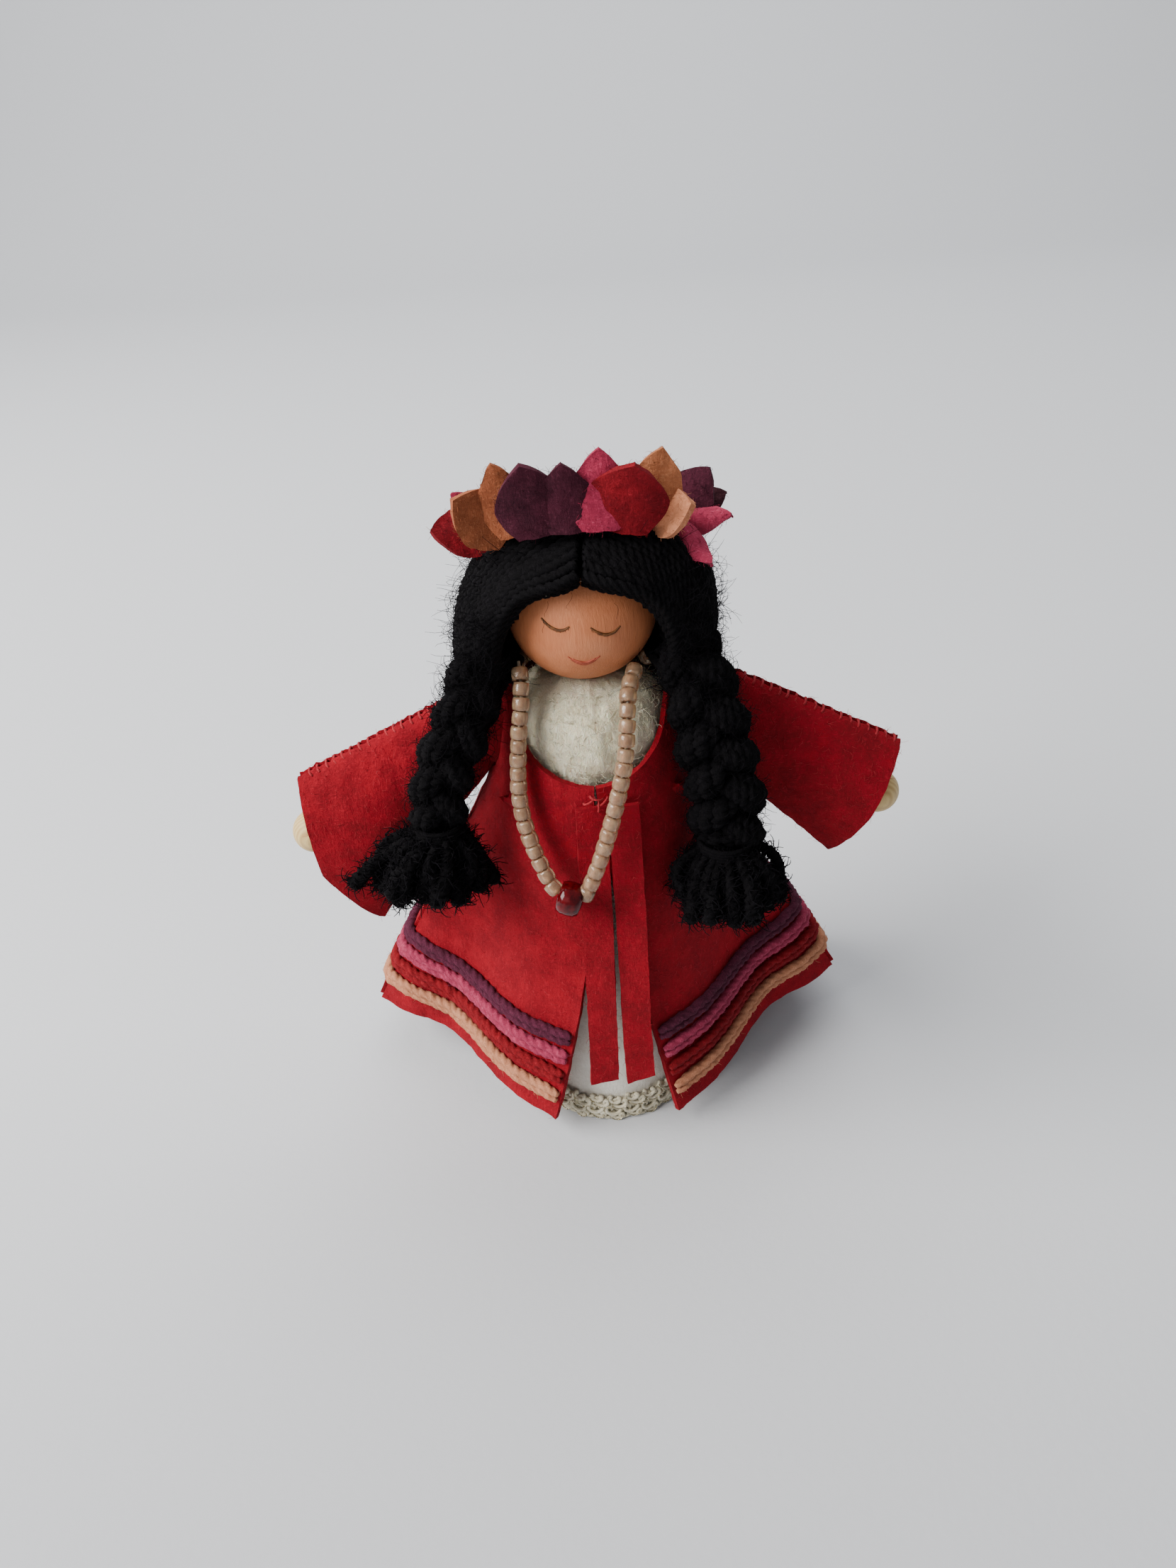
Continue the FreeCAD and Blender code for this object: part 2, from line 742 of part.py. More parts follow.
# Each leaf: place round the crown in degrees from +X, lean above the horizontal in degrees,
# length, width and how far it sits off its cord, through its own thickness.
LEAVES = {
    "red": [(189, 0, 9.5, 7.6, 0), (301, 76, 9.5, 8.0, 1.5), (78, 34, 10.0, 5.6, 0)],
    "rust": [(212, 40, 10.0, 7.6, 0), (196, 96, 11.5, 6.4, 0), (33, 30, 10.0, 5.6, 0)],
    "plum": [
        (242, 82, 11.0, 8.6, 0), (262, 112, 9.5, 7.0, -1.6), (353, 50, 9.5, 7.0, 0),
        (125, 34, 10.0, 5.6, 0),
    ],
    "raspberry": [(283, 106, 10.0, 6.4, -0.1), (55, 40, 10.0, 5.6, 0), (172, 42, 9.5, 5.8, 0)],
    "tan": [(324, 94, 10.5, 6.8, -0.7), (101, 42, 10.0, 5.6, 0)],
    "peach": [(327, 24, 7.0, 6.0, -0.6), (149, 34, 9.5, 5.6, 0)],
    "brown": [(11, 6, 10.0, 6.0, 0)],
    "pink": [(350, -8, 9.5, 6.0, 0), (336, -46, 10.5, 6.0, -0.8)],
}


def leaf_outline(length, width):
    """A pointed oval, one end at the origin and the tip along +Y."""
    foot = 0.3 * width
    edges = [
        Part.makeLine(Vector(-foot, 0, 0), Vector(foot, 0, 0)),
        Part.Arc(Vector(foot, 0, 0), Vector(width / 2, 0.42 * length, 0), Vector(0, length, 0)).toShape(),
        Part.Arc(Vector(0, length, 0), Vector(-width / 2, 0.42 * length, 0), Vector(-foot, 0, 0)).toShape(),
    ]
    return Part.Wire(edges)


def crown_placement():
    """The crown's own frame: tilted up at the front."""
    centre = Vector(0.7, size("crown_depth_shift"), size("crown_height"))
    return Placement(centre, Rotation(Vector(1, 0, 0), -size("crown_tilt")))


def leaf_shape(turn, lean, length, width, layer):
    thick = size("leaf_thickness")
    blade = Part.Face(leaf_outline(length, width)).extrude(Vector(0, 0, thick))
    off_cord = Placement(Vector(0, size("crown_cord_radius") + 0.3, layer - thick / 2), Rotation())
    turn = math.radians(turn)
    lean = math.radians(lean + size("crown_tilt") * math.sin(turn))
    radial = Vector(math.cos(turn), math.sin(turn), 0)
    tangent = Vector(-math.sin(turn), math.cos(turn), 0)
    tip = radial * math.cos(lean) + Vector(0, 0, math.sin(lean))
    on_ring = Placement(
        radial * size("crown_radius"), Rotation(tangent, tip, tangent.cross(tip), "ZXY")
    )
    blade.Placement = crown_placement().multiply(on_ring).multiply(off_cord)
    return blade


def make_crown():
    solid_feature("crown_cord", crown_ring(size("crown_cord_radius")))
    for colour, leaves in LEAVES.items():
        shapes = [leaf_shape(*leaf) for leaf in leaves]
        solid_feature("leaves_" + colour, Part.makeCompound(shapes))


# ---------------------------------------------------------------- necklace

LEFT_STRAND = [
    (-10.9, -6.6, 98.4), (-10.6, -10.2, 94.6), (-11.6, -12.2, 89.4), (-12.4, -13.4, 82.8),
    (-12.7, -15.0, 76.2), (-11.6, -16.6, 70.2), (-9.7, -18.4, 64.8), (-7.6, -20.4, 60.9),
]
RIGHT_STRAND = [
    (-3.6, -21.3, 59.6), (-1.7, -21.1, 63.2), (0.9, -20.4, 69.9), (3.3, -19.3, 77.6),
    (5.2, -17.5, 85.0), (5.9, -14.9, 90.8), (6.3, -11.6, 94.8), (7.9, -7.8, 96.4),
]
NAPE = [
    (-12.0, -3.4, 95.2), (-11.6, 1.6, 94.6), (-8.6, 6.8, 94.0), (-3.0, 9.7, 93.8),
    (3.0, 9.6, 93.8), (8.2, 6.2, 94.0), (10.6, 0.8, 94.6), (10.2, -4.0, 95.4),
]
CORNER_SHARE = 0.45


def rounded_route(points, name):
    """Straight runs joined by tangent arcs, each as large as its two runs allow."""
    corners = [Vector(*point) for point in points]
    edges, start, radii = [], corners[0], []
    for before, corner, after in zip(corners, corners[1:], corners[2:]):
        inward = (corner - before).normalize()
        outward = (after - corner).normalize()
        turn = inward.getAngle(outward)
        back = CORNER_SHARE * min((corner - before).Length, (after - corner).Length)
        radii.append(round(back / math.tan(turn / 2), 1))
        first, last = corner - inward * back, corner + outward * back
        chord = (first + last) * 0.5
        bulge = (corner - chord).normalize()
        radius = back / math.tan(turn / 2)
        depth = radius * (1 - math.cos(turn / 2))
        edges.append(Part.makeLine(start, first))
        edges.append(Part.Arc(first, chord + bulge * depth, last).toShape())
        start = last
    edges.append(Part.makeLine(start, corners[-1]))
    print(name, "arc radii", radii)
    return Part.Wire(edges)


def thread_along(wire, radius):
    """A round thread swept along a route."""
    start = wire.Edges[0].valueAt(wire.Edges[0].FirstParameter)
    direction = wire.Edges[0].tangentAt(wire.Edges[0].FirstParameter)
    rim = round_wire(start, direction, radius)
    tube = wire.makePipeShell([rim], True, False)
    expected = math.pi * radius**2 * wire.Length
    print("thread volume", round(tube.Volume / expected, 4), "of its section times its length")
    return tube


def bead_shape(centre, direction, radius, length, hole):
    """A rounded seed bead with its hole along a direction."""
    edge = 0.3 * length
    corners = [(hole, -length / 2), (radius - edge, -length / 2), (radius, 0), (radius - edge, length / 2),
               (hole, length / 2)]
    points = [Vector(r, 0, z) for r, z in corners]
    outline = [
        Part.makeLine(points[0], points[1]),
        Part.Arc(points[1], points[2], points[3]).toShape(),
        Part.makeLine(points[3], points[4]),
        Part.makeLine(points[4], points[0]),
    ]
    bead = Part.Face(Part.Wire(outline)).revolve(Vector(), Vector(0, 0, 1), 360)
    bead.Placement = Placement(centre, Rotation(Vector(0, 0, 1), direction))
    return bead


def beads_along(wire, before, after):
    """Seed beads at an even pitch along a route, clear of its two ends by the given lengths."""
    pitch = size("bead_pitch")
    room = wire.Length - before - after
    count = int(room / pitch) + 1
    first = before + (room - (count - 1) * pitch) / 2
    stops = [first + number * pitch for number in range(count)]
    radius, length, hole = size("bead_radius"), size("bead_length"), size("bead_hole_radius")
    beads = []
    for stop in stops:
        centre, ahead = point_at(wire, stop), point_at(wire, stop + 0.2)
        behind = point_at(wire, stop - 0.2)
        beads.append(bead_shape(centre, ahead - behind, radius, length, hole))
    return beads


def point_at(wire, distance):
    """The point at a distance along a wire."""
    for edge in wire.OrderedEdges:
        if distance <= edge.Length + 1e-9:
            return edge.valueAt(edge.getParameterByLength(max(distance, 0)))
        distance -= edge.Length
    return edge.valueAt(edge.LastParameter)


def make_necklace():
    thread = size("thread_radius")
    left = rounded_route(LEFT_STRAND, "left strand")
    right = rounded_route(RIGHT_STRAND, "right strand")
    whole = rounded_route(LEFT_STRAND + RIGHT_STRAND, "front loop")
    solid_feature("necklace_thread", thread_along(whole, thread))
    solid_feature("necklace_left_beads", Part.makeCompound(beads_along(left, 0.8, 2.3)))
    solid_feature("necklace_right_beads", Part.makeCompound(beads_along(right, 2.6, 0.8)))
    nape = rounded_route(NAPE, "nape")
    solid_feature("nape_thread", thread_along(nape, thread))
    solid_feature("nape_beads", Part.makeCompound(beads_along(nape, 0.8, 0.8)))
    low, high = Vector(*LEFT_STRAND[-1]), Vector(*RIGHT_STRAND[0])
    radius, length, hole = size("pendant_radius"), size("pendant_length"), 2 * size("bead_hole_radius")
    pendant = bead_shape((low + high) * 0.5, high - low, radius, length, hole)
    solid_feature("necklace_pendant", pendant)


# ---------------------------------------------------------------- ties and stitch

TIE_LEAN = 0.082
TIE_FRONT = 15.7


def tie_grid(top_centre, bottom_centre):
    """A felt strip that hangs down the front of the coat, a little in front of it."""
    high, low, half = size("tie_top"), size("tie_bottom"), size("tie_width") / 2
    rows = []
    for share in even(4):
        middle = top_centre + (bottom_centre - top_centre) * share
        height = high + (low - high) * share
        depth = -TIE_FRONT - TIE_LEAN * (high - height)
        rows.append([Vector(middle + half * side, depth, height) for side in (-1, 0, 1)])
    return rows


def make_ties():
    felt = size("felt_thickness")
    solid_feature("left_tie", felt_sheet(tie_grid(-0.7, -1.8), 0, -felt))
    solid_feature("right_tie", felt_sheet(tie_grid(4.6, 4.9), 0, -felt))
    stitch = doc.addObject("Part::Box", "front_stitch")
    stitch.setExpression("Length", "Sizes.stitch_width")
    stitch.setExpression("Width", "Sizes.stitch_depth")
    stitch.setExpression("Height", "Sizes.stitch_height")
    stitch.Placement.Base = Vector(-1.7, -17.0, 76.0)
    subpart(stitch, "front_stitch")


# ---------------------------------------------------------------- build, test and write


def check_and_write():
    doc.recompute()
    for item in doc.Objects:
        if "Invalid" in item.State or "Error" in item.State:
            raise RuntimeError(f"{item.Label} failed: {item.State}")
    for item in SUBPARTS:
        shape = item.Shape
        if shape.isNull() or not shape.isValid() or shape.Volume <= 0:
            raise RuntimeError(f"{item.Label} has no valid solid")
        shape.exportStep(f"parts/{item.Label}.step")
        print(f"{item.Label:24s} {len(shape.Solids):3d} solids {shape.Volume:10.1f} mm3")


make_peg()
make_head()
make_dress()
make_coat()
make_bands()
make_shoulder_wire()
for arm_side, arm_name in ((-1, "left"), (1, "right")):
    make_arm(arm_side, arm_name)
make_hair()
make_braid("left", LEFT_BRAID, LEFT_TASSEL)
make_braid("right", RIGHT_BRAID, RIGHT_TASSEL)
make_crown()
make_necklace()
make_ties()
check_and_write()
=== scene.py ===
"""Felt-dressed peg doll: its visible cloth, yarn, paint and glass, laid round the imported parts.

Lengths written here are millimetres in the part's own frame: +Z up, the doll's front towards
-Y, "left" towards -X. keep() writes each finished piece in metres."""

import random
from math import atan2, copysign, cos, hypot, pi, radians, sin, sqrt

import bmesh
import bpy
from mathutils import Matrix, Quaternion, Vector, noise


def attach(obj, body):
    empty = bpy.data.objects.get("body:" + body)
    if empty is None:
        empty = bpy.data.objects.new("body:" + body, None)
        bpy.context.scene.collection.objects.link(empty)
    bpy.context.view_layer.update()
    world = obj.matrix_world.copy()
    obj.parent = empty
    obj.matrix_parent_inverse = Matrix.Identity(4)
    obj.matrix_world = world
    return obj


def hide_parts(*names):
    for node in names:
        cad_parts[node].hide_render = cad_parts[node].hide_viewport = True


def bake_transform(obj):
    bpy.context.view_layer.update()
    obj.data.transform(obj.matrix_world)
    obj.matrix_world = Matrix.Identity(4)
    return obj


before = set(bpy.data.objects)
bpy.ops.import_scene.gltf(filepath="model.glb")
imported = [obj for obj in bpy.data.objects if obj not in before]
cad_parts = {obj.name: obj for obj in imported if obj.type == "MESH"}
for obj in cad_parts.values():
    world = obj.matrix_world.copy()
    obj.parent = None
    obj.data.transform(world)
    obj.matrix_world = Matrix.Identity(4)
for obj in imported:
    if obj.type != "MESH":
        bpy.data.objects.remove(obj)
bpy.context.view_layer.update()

MM = 0.001
TURN = 2 * pi
UP = Vector((0, 0, 1))


# ---------------------------------------------------------------- sums used everywhere


def ease(value):
    """0 below 0, 1 above 1, and a smooth rise between them."""
    value = min(max(value, 0.0), 1.0)
    return value * value * (3 - 2 * value)


def between(first, last, share):
    return first + (last - first) * share


def run_length(points):
    return sum((b - a).length for a, b in zip(points, points[1:]))


def ring(angle, wide, deep, height=0.0):
    """A point at an angle round an upright ellipse."""
    return Vector((wide * cos(angle), deep * sin(angle), height))


def scattered(rng, *spreads):
    """A random shift with its own spread along each axis."""
    return Vector([rng.gauss(0, spread) for spread in spreads])


def through(corners, spacing):
    """Points at an even spacing on a smooth line through the corners."""
    corners = [Vector(corner) for corner in corners]
    ends = [2 * corners[0] - corners[1]] + corners + [2 * corners[-1] - corners[-2]]
    fine = []
    for a, b, c, d in zip(ends, ends[1:], ends[2:], ends[3:]):
        square, cube = 2 * a - 5 * b + 4 * c - d, 3 * b - a - 3 * c + d
        for step in range(12):
            t = step / 12
            fine.append(0.5 * (2 * b + (c - a) * t + square * t * t + cube * t ** 3))
    fine.append(corners[-1])
    return evenly(fine, spacing)


def evenly(points, spacing):
    """The same line again with points at an even spacing."""
    total = run_length(points)
    count = max(2, round(total / spacing))
    step, spare, made = total / count, 0.0, [points[0].copy()]
    for a, b in zip(points, points[1:]):
        run = (b - a).length
        while run and spare + run >= step - 1e-9 and len(made) < count:
            share = (step - spare) / run
            a = a.lerp(b, share)
            made.append(a.copy())
            run, spare = (b - a).length, 0.0
        spare += run
    made.append(points[-1].copy())
    return made


def headings(points):
    """The direction along a line at each of its points."""
    made = []
    for index in range(len(points)):
        ahead = points[min(index + 1, len(points) - 1)] - points[max(index - 1, 0)]
        made.append(ahead.normalized())
    return made


# ---------------------------------------------------------------- finishes


def tint(code):
    """The linear colour of a hex code."""
    parts = [int(code[place:place + 2], 16) / 255 for place in (0, 2, 4)]
    linear = [part / 12.92 if part <= 0.04045 else ((part + 0.055) / 1.055) ** 2.4 for part in parts]
    return (*linear, 1.0)


class Value:
    """What a node gives. Arithmetic on it adds Math nodes."""

    def __init__(self, finish, socket):
        self.finish = finish
        self.socket = socket

    def math(self, operation, other):
        return self.finish.node("ShaderNodeMath", {"operation": operation}, {0: self, 1: other})

    def __add__(self, other):
        return self.math("ADD", other)

    def __mul__(self, other):
        return self.math("MULTIPLY", other)

    def over(self, low, high):
        """0 up to low, 1 from high, and even between them."""
        sockets = {"Value": self, "From Min": low, "From Max": high, "To Min": 0.0, "To Max": 1.0}
        return self.finish.node("ShaderNodeMapRange", {"clamp": True}, sockets)

    __radd__ = __add__
    __rmul__ = __mul__


class Finish:
    """A material whose nodes are written as expressions. Its constants go on the shader itself,
    and a colour may be given as a hex code."""

    def __init__(self, name, constants):
        self.material = bpy.data.materials.new(name)
        self.material.use_nodes = True
        self.tree = self.material.node_tree
        self.tree.nodes.clear()
        self.shader = self.node("ShaderNodeBsdfPrincipled", {}, constants).socket.node
        output = self.tree.nodes.new("ShaderNodeOutputMaterial")
        self.tree.links.new(self.shader.outputs[0], output.inputs["Surface"])
        self.spot = self.node("ShaderNodeTexCoord", {}, {}, "Object")

    def node(self, kind, settings, sockets, output=0):
        made = self.tree.nodes.new(kind)
        for name, value in settings.items():
            setattr(made, name, value)
        for name, value in sockets.items():
            self.give(made.inputs[name], value)
        return Value(self, made.outputs[output])

    def give(self, socket, value):
        if isinstance(value, Value):
            self.tree.links.new(value.socket, socket)
        else:
            socket.default_value = tint(value) if isinstance(value, str) else value

    def place(self, stretch=(1, 1, 1), turn=(0, 0, 0)):
        """Object coordinates in millimetres, stretched and turned."""
        sockets = {"Vector": self.spot, "Scale": tuple(part / MM for part in stretch), "Rotation": turn}
        return self.node("ShaderNodeMapping", {"vector_type": "POINT"}, sockets)

    def cloud(self, where, scale, detail=3.0, rough=0.55, distort=0.0):
        sockets = {"Vector": where, "Scale": scale, "Detail": detail}
        sockets.update({"Roughness": rough, "Distortion": distort})
        return self.node("ShaderNodeTexNoise", {}, sockets)

    def mix(self, first, second, share):
        return self.node("ShaderNodeMix", {"data_type": "RGBA"}, {0: share, 6: first, 7: second}, 2)

    def relief(self, height, depth):
        """A bump of that many millimetres, on the shader's Normal."""
        bump = self.node("ShaderNodeBump", {}, {"Height": height, "Distance": depth * MM, "Strength": 1.0})
        self.give(self.shader.inputs["Normal"], bump)

    def wear(self, **links):
        """Give what changes over the surface to the shader."""
        for name, value in links.items():
            self.give(self.shader.inputs[name.replace("_", " ")], value)
        return self.material


def felt(name, deep, middle, pale, nap=0.30):
    """Pressed wool: cloudy colour, short crossed fibres and a soft nap."""
    constants = {"Roughness": 0.95, "Specular IOR Level": 0.15, "Sheen Weight": nap, "Sheen Roughness": 0.6}
    constants["Sheen Tint"] = pale
    finish = Finish(name, constants)
    patches = finish.cloud(finish.place(), 0.22, 3.0).over(0.35, 0.68)
    one_way = finish.cloud(finish.place((1.0, 1.0, 0.32), (0.5, 0.7, 0.2)), 2.6, 5.0, 0.65, 0.8)
    other_way = finish.cloud(finish.place((0.34, 1.0, 1.0), (0.2, 0.4, 0.9)), 3.1, 5.0, 0.65, 0.8)
    hairs = (one_way + other_way) * 0.5
    # Partly painted light: random patches, plus painted shade where the fibre relief sinks and a painted
    # highlight on its raised fibres.
    ground = finish.mix(deep, middle, patches * 0.55 + hairs.over(0.38, 0.60) * 0.45)
    lit = finish.mix(ground, pale, hairs.over(0.54, 0.70) * 0.55)
    finish.relief(hairs + finish.cloud(finish.place(), 0.9, 4.0) * 0.5, 0.42)
    return finish.wear(Base_Color=lit)


def yarn_finish(name, deep, middle, pale, sheen=0.3, specular=0.2):
    """Spun wool or acrylic: streaky fibres with darker hollows, the hollows of their relief painted in shade
    and its ridges painted paler as a highlight.
    """
    constants = {"Roughness": 0.85, "Specular IOR Level": specular}
    constants.update({"Sheen Weight": sheen, "Sheen Roughness": 0.45, "Sheen Tint": pale})
    finish = Finish(name, constants)
    streaks = finish.cloud(finish.place((1.0, 1.0, 0.4), (0.4, 0.3, 0.0)), 3.4, 5.0, 0.7, 1.0)
    patches = finish.cloud(finish.place(), 0.5, 3.0)
    # Painted shade: the colour goes deep where the streak relief sinks, with random patches; then a painted
    # highlight on its ridges.
    body = finish.mix(deep, middle, (streaks + patches * 0.5).over(0.5, 0.95))
    lit = finish.mix(body, pale, streaks.over(0.55, 0.74) * 0.6)
    finish.relief(streaks, 0.30)
    return finish.wear(Base_Color=lit)


def painted_wood():
    """Skin paint brushed thinly over a turned ball, so that the grain still shows."""
    constants = {"Roughness": 0.52, "Specular IOR Level": 0.30, "Subsurface Weight": 0.04}
    constants["Subsurface Scale"] = 1.0 * MM
    finish = Finish("painted_wood", constants)
    grain = finish.cloud(finish.place((2.2, 2.2, 0.16), (0.0, 0.14, 0.0)), 1.5, 5.0, 0.6, 0.3)
    pores = finish.cloud(finish.place((5.0, 5.0, 0.5)), 1.3, 4.0, 0.6)
    strokes = finish.cloud(finish.place(), 0.14, 2.0)
    skin = finish.mix("B26741", "C67A50", grain.over(0.25, 0.75))
    skin = finish.mix(skin, "D28C64", strokes.over(0.45, 0.75) * 0.5)
    skin = finish.mix(skin, "9C5A3C", pores.over(0.62, 0.78) * 0.2)
    finish.relief(grain + pores * 0.4, 0.10)
    return finish.wear(Base_Color=skin, Roughness=grain * 0.3 + 0.36)


def bare_wood():
    """Pale turned wood with fine rings and a thin wax."""
    finish = Finish("bare_wood", {"Specular IOR Level": 0.4})
    bent = finish.cloud(finish.place((0.5, 0.5, 0.12)), 0.6, 3.0)
    rings = finish.node(
        "ShaderNodeTexWave",
        {"wave_type": "BANDS", "bands_direction": "Y"},
        {"Vector": finish.place((1.0, 1.0, 0.2)), "Scale": 0.45, "Distortion": 3.0, "Detail": 3.0},
        1,
    )
    pores = finish.cloud(finish.place((4.0, 4.0, 0.5)), 1.4, 4.0)
    wood = finish.mix("B08B55", "D6BC82", rings * 0.6 + bent * 0.4)
    wood = finish.mix(wood, "8A6438", pores.over(0.60, 0.74) * 0.4)
    finish.relief(pores + rings * 0.5, 0.06)
    return finish.wear(Base_Color=wood, Roughness=rings * 0.15 + 0.38)


def glass(name, deep, pale, clear, gloss, shine=0.5):
    """Moulded bead glass with a faint cloudiness in it."""
    constants = {"Transmission Weight": clear, "IOR": 1.5, "Specular IOR Level": shine}
    finish = Finish(name, constants)
    haze = finish.cloud(finish.place(), 0.8, 3.0)
    finish.relief(haze, 0.05)
    return finish.wear(
        Base_Color=finish.mix(deep, pale, haze.over(0.35, 0.65)),
        Roughness=haze * 0.12 + gloss,
    )


def fluff(name, deep, pale):
    """Carded wool: soft curls of shadow between pale locks."""
    constants = {"Roughness": 1.0, "Specular IOR Level": 0.1, "Sheen Weight": 0.5, "Sheen Roughness": 0.5}
    constants["Subsurface Weight"] = 0.15
    constants["Subsurface Scale"] = 1.5 * MM
    finish = Finish(name, constants)
    locks = finish.cloud(finish.place((1.0, 1.0, 0.5), (0.6, 0.2, 0.3)), 0.7, 6.0, 0.65, 1.4)
    hairs = finish.cloud(finish.place((1.0, 1.0, 0.35), (0.3, 0.8, 0.0)), 3.0, 5.0, 0.7, 1.0)
    finish.relief(locks + hairs * 0.6, 0.7)
    return finish.wear(Base_Color=finish.mix(deep, pale, (locks * 0.6 + hairs * 0.4).over(0.36, 0.60)))


def metal_thread(name, shade, light):
    finish = Finish(name, {"Metallic": 1.0})
    crimp = finish.cloud(finish.place(), 4.0, 2.0)
    finish.relief(crimp, 0.10)
    return finish.wear(Base_Color=finish.mix(shade, light, crimp.over(0.4, 0.6)), Roughness=crimp * 0.3 + 0.1)


def line_paint(name, deep, pale):
    """Thin brush paint, paler where the brush ran dry."""
    finish = Finish(name, {"Specular IOR Level": 0.25})
    dry = finish.cloud(finish.place(), 2.2, 3.0)
    return finish.wear(Base_Color=finish.mix(deep, pale, dry.over(0.40, 0.66)), Roughness=dry * 0.2 + 0.5)


RED_FELT = felt("red_felt", "6E0A16", "9A0E1E", "B22435", 0.14)
CREAM_FELT = felt("cream_felt", "D8D2C2", "F0ECE2", "FAF8F2", 0.2)
LEAF_FELT = {
    "red": felt("leaf_red_felt", "520810", "86121E", "A82C38", 0.16),
    "rust": felt("leaf_rust_felt", "7A3E26", "A86040", "CA8862"),
    "plum": felt("leaf_plum_felt", "2A0C18", "4A1A2A", "6E3A48"),
    "raspberry": felt("leaf_raspberry_felt", "7E1C34", "B03450", "CE5E78"),
    "tan": felt("leaf_tan_felt", "8A4E30", "B87450", "D4986E"),
    "peach": felt("leaf_peach_felt", "B06A48", "D68E68", "E8AE8C"),
    "brown": felt("leaf_brown_felt", "2A1016", "47202A", "66404A"),
    "pink": felt("leaf_pink_felt", "86203A", "B83C58", "D86C88"),
}
BAND_YARN = {
    "plum": yarn_finish("plum_yarn", "32101E", "5E2038", "84405A"),
    "pink": yarn_finish("pink_yarn", "82203C", "B43E5C", "D06E88"),
    "red": yarn_finish("red_yarn", "5A060E", "92101C", "B4303A"),
    "peach": yarn_finish("peach_yarn", "A8684A", "D0906E", "E8B496"),
}
HAIR_YARN = yarn_finish("hair_yarn", "030203", "0A080B", "221E24", 0.05, 0.10)
HAIR_FUZZ = yarn_finish("hair_fuzz", "050406", "0E0B10", "1C181E", 0.05, 0.1)
RED_FUZZ = yarn_finish("red_fuzz", "8A141E", "B8303A", "D05A60")
CREAM_FUZZ = yarn_finish("cream_fuzz", "E6DDBE", "F6EED2", "FCF6E0")
RED_THREAD = yarn_finish("red_thread", "8A0C16", "B8202C", "DC5A64", 0.3, 0.4)
CREAM_YARN = yarn_finish("cream_yarn", "D0C4A2", "F0E8D0", "FCF8EC")
BEAD_THREAD = yarn_finish("bead_thread", "A09078", "C4B49C", "DCD0BC")
WOOL_FLUFF = fluff("cream_wool", "E8DAB0", "FFF6D8")
HEAD_PAINT = painted_wood()
HAND_WOOD = bare_wood()
BEAD_GLASS = glass("bead_glass", "BC9474", "DCBC98", 0.7, 0.14)
BEAD_LINER = glass("bead_liner", "A87A62", "C89C84", 0.0, 0.3)
PENDANT_GLASS = glass("pendant_glass", "320205", "56050C", 0.0, 0.04, 0.3)
LUREX = metal_thread("lurex", "B4A676", "FFF8E2")
WIRE_METAL = metal_thread("wire", "6A6A6C", "A8A8AC")
LASH_PAINT = line_paint("lash_paint", "4A2A12", "7A4C28")
LIP_PAINT = line_paint("lip_paint", "8E3A26", "B45A44")


# ---------------------------------------------------------------- making and keeping pieces


def shown(name, data):
    """A new object in the scene."""
    item = bpy.data.objects.new(name, data)
    bpy.context.scene.collection.objects.link(item)
    return item


def keep(name, mesh, body, finish, slot, nodes=(), crease=None):
    """A finished piece: smooth, in metres, with its body and the parts it stands for; its slot is not used.
    """
    mesh.name = name
    mesh.transform(Matrix.Scale(MM, 4))
    mesh.materials.clear()
    mesh.materials.append(finish)
    mesh.shade_smooth()
    if crease:
        mesh.set_sharp_from_angle(angle=radians(crease))
    piece = shown(name, mesh)
    if body:
        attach(piece, body)
    if nodes:
        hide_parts(*nodes)
    return piece


def hand_over(bm):
    """The mesh itself, when the work on it is done."""
    mesh = bpy.data.meshes.new("piece")
    bm.to_mesh(mesh)
    bm.free()
    return mesh


def closed_mesh(bm):
    """Merge what meets, point every face outwards and hand the mesh over."""
    bmesh.ops.remove_doubles(bm, verts=bm.verts, dist=1e-4)
    bmesh.ops.recalc_face_normals(bm, faces=bm.faces)
    return hand_over(bm)


def gather(bm, mesh):
    """Add a finished mesh to the piece being made."""
    bm.from_mesh(mesh)
    bpy.data.meshes.remove(mesh)


def aim(bm, centre, ahead):
    """Turn a piece that was made upright to point ahead, and bring it to its centre."""
    turn = UP.rotation_difference(ahead).to_matrix().to_4x4()
    bmesh.ops.transform(bm, matrix=Matrix.Translation(centre) @ turn, verts=bm.verts)


def outline(name, lobes, hollow, corners):
    """The section of a yarn: round, or lobed where it has several plies."""
    curve = bpy.data.curves.new(name, "CURVE")
    spline = curve.splines.new("POLY")
    spline.points.add(corners - 1)
    spline.use_cyclic_u = True
    for index, point in enumerate(spline.points):
        angle = TURN * index / corners
        reach = 1 - hollow + hollow * abs(cos(lobes * angle / 2))
        point.co = (reach * cos(angle), reach * sin(angle), 0, 1)
    return shown(name, curve)


def swept(paths, section):
    """One mesh of tubes. A path is a list of (centre, half thickness, turn)."""
    curve = bpy.data.curves.new("route", "CURVE")
    curve.dimensions = "3D"
    curve.bevel_mode = "OBJECT"
    curve.bevel_object = section
    curve.use_fill_caps = True
    for path in paths:
        spline = curve.splines.new("POLY")
        spline.points.add(len(path) - 1)
        for point, (centre, radius, turn) in zip(spline.points, path):
            point.co = (*centre, 1)
            point.radius = radius
            point.tilt = turn
    route = shown("route", curve)
    graph = bpy.context.evaluated_depsgraph_get()
    mesh = bpy.data.meshes.new_from_object(route.evaluated_get(graph))
    bpy.data.objects.remove(route)
    bpy.data.curves.remove(curve)
    bm = bmesh.new()
    gather(bm, mesh)
    return closed_mesh(bm)


PLIED = outline("plied_section", 3, 0.22, 12)
ROUND = outline("round_section", 1, 0.0, 8)
HAIR_FINE = outline("fine_section", 1, 0.0, 3)
NAP_THICK = 0.034


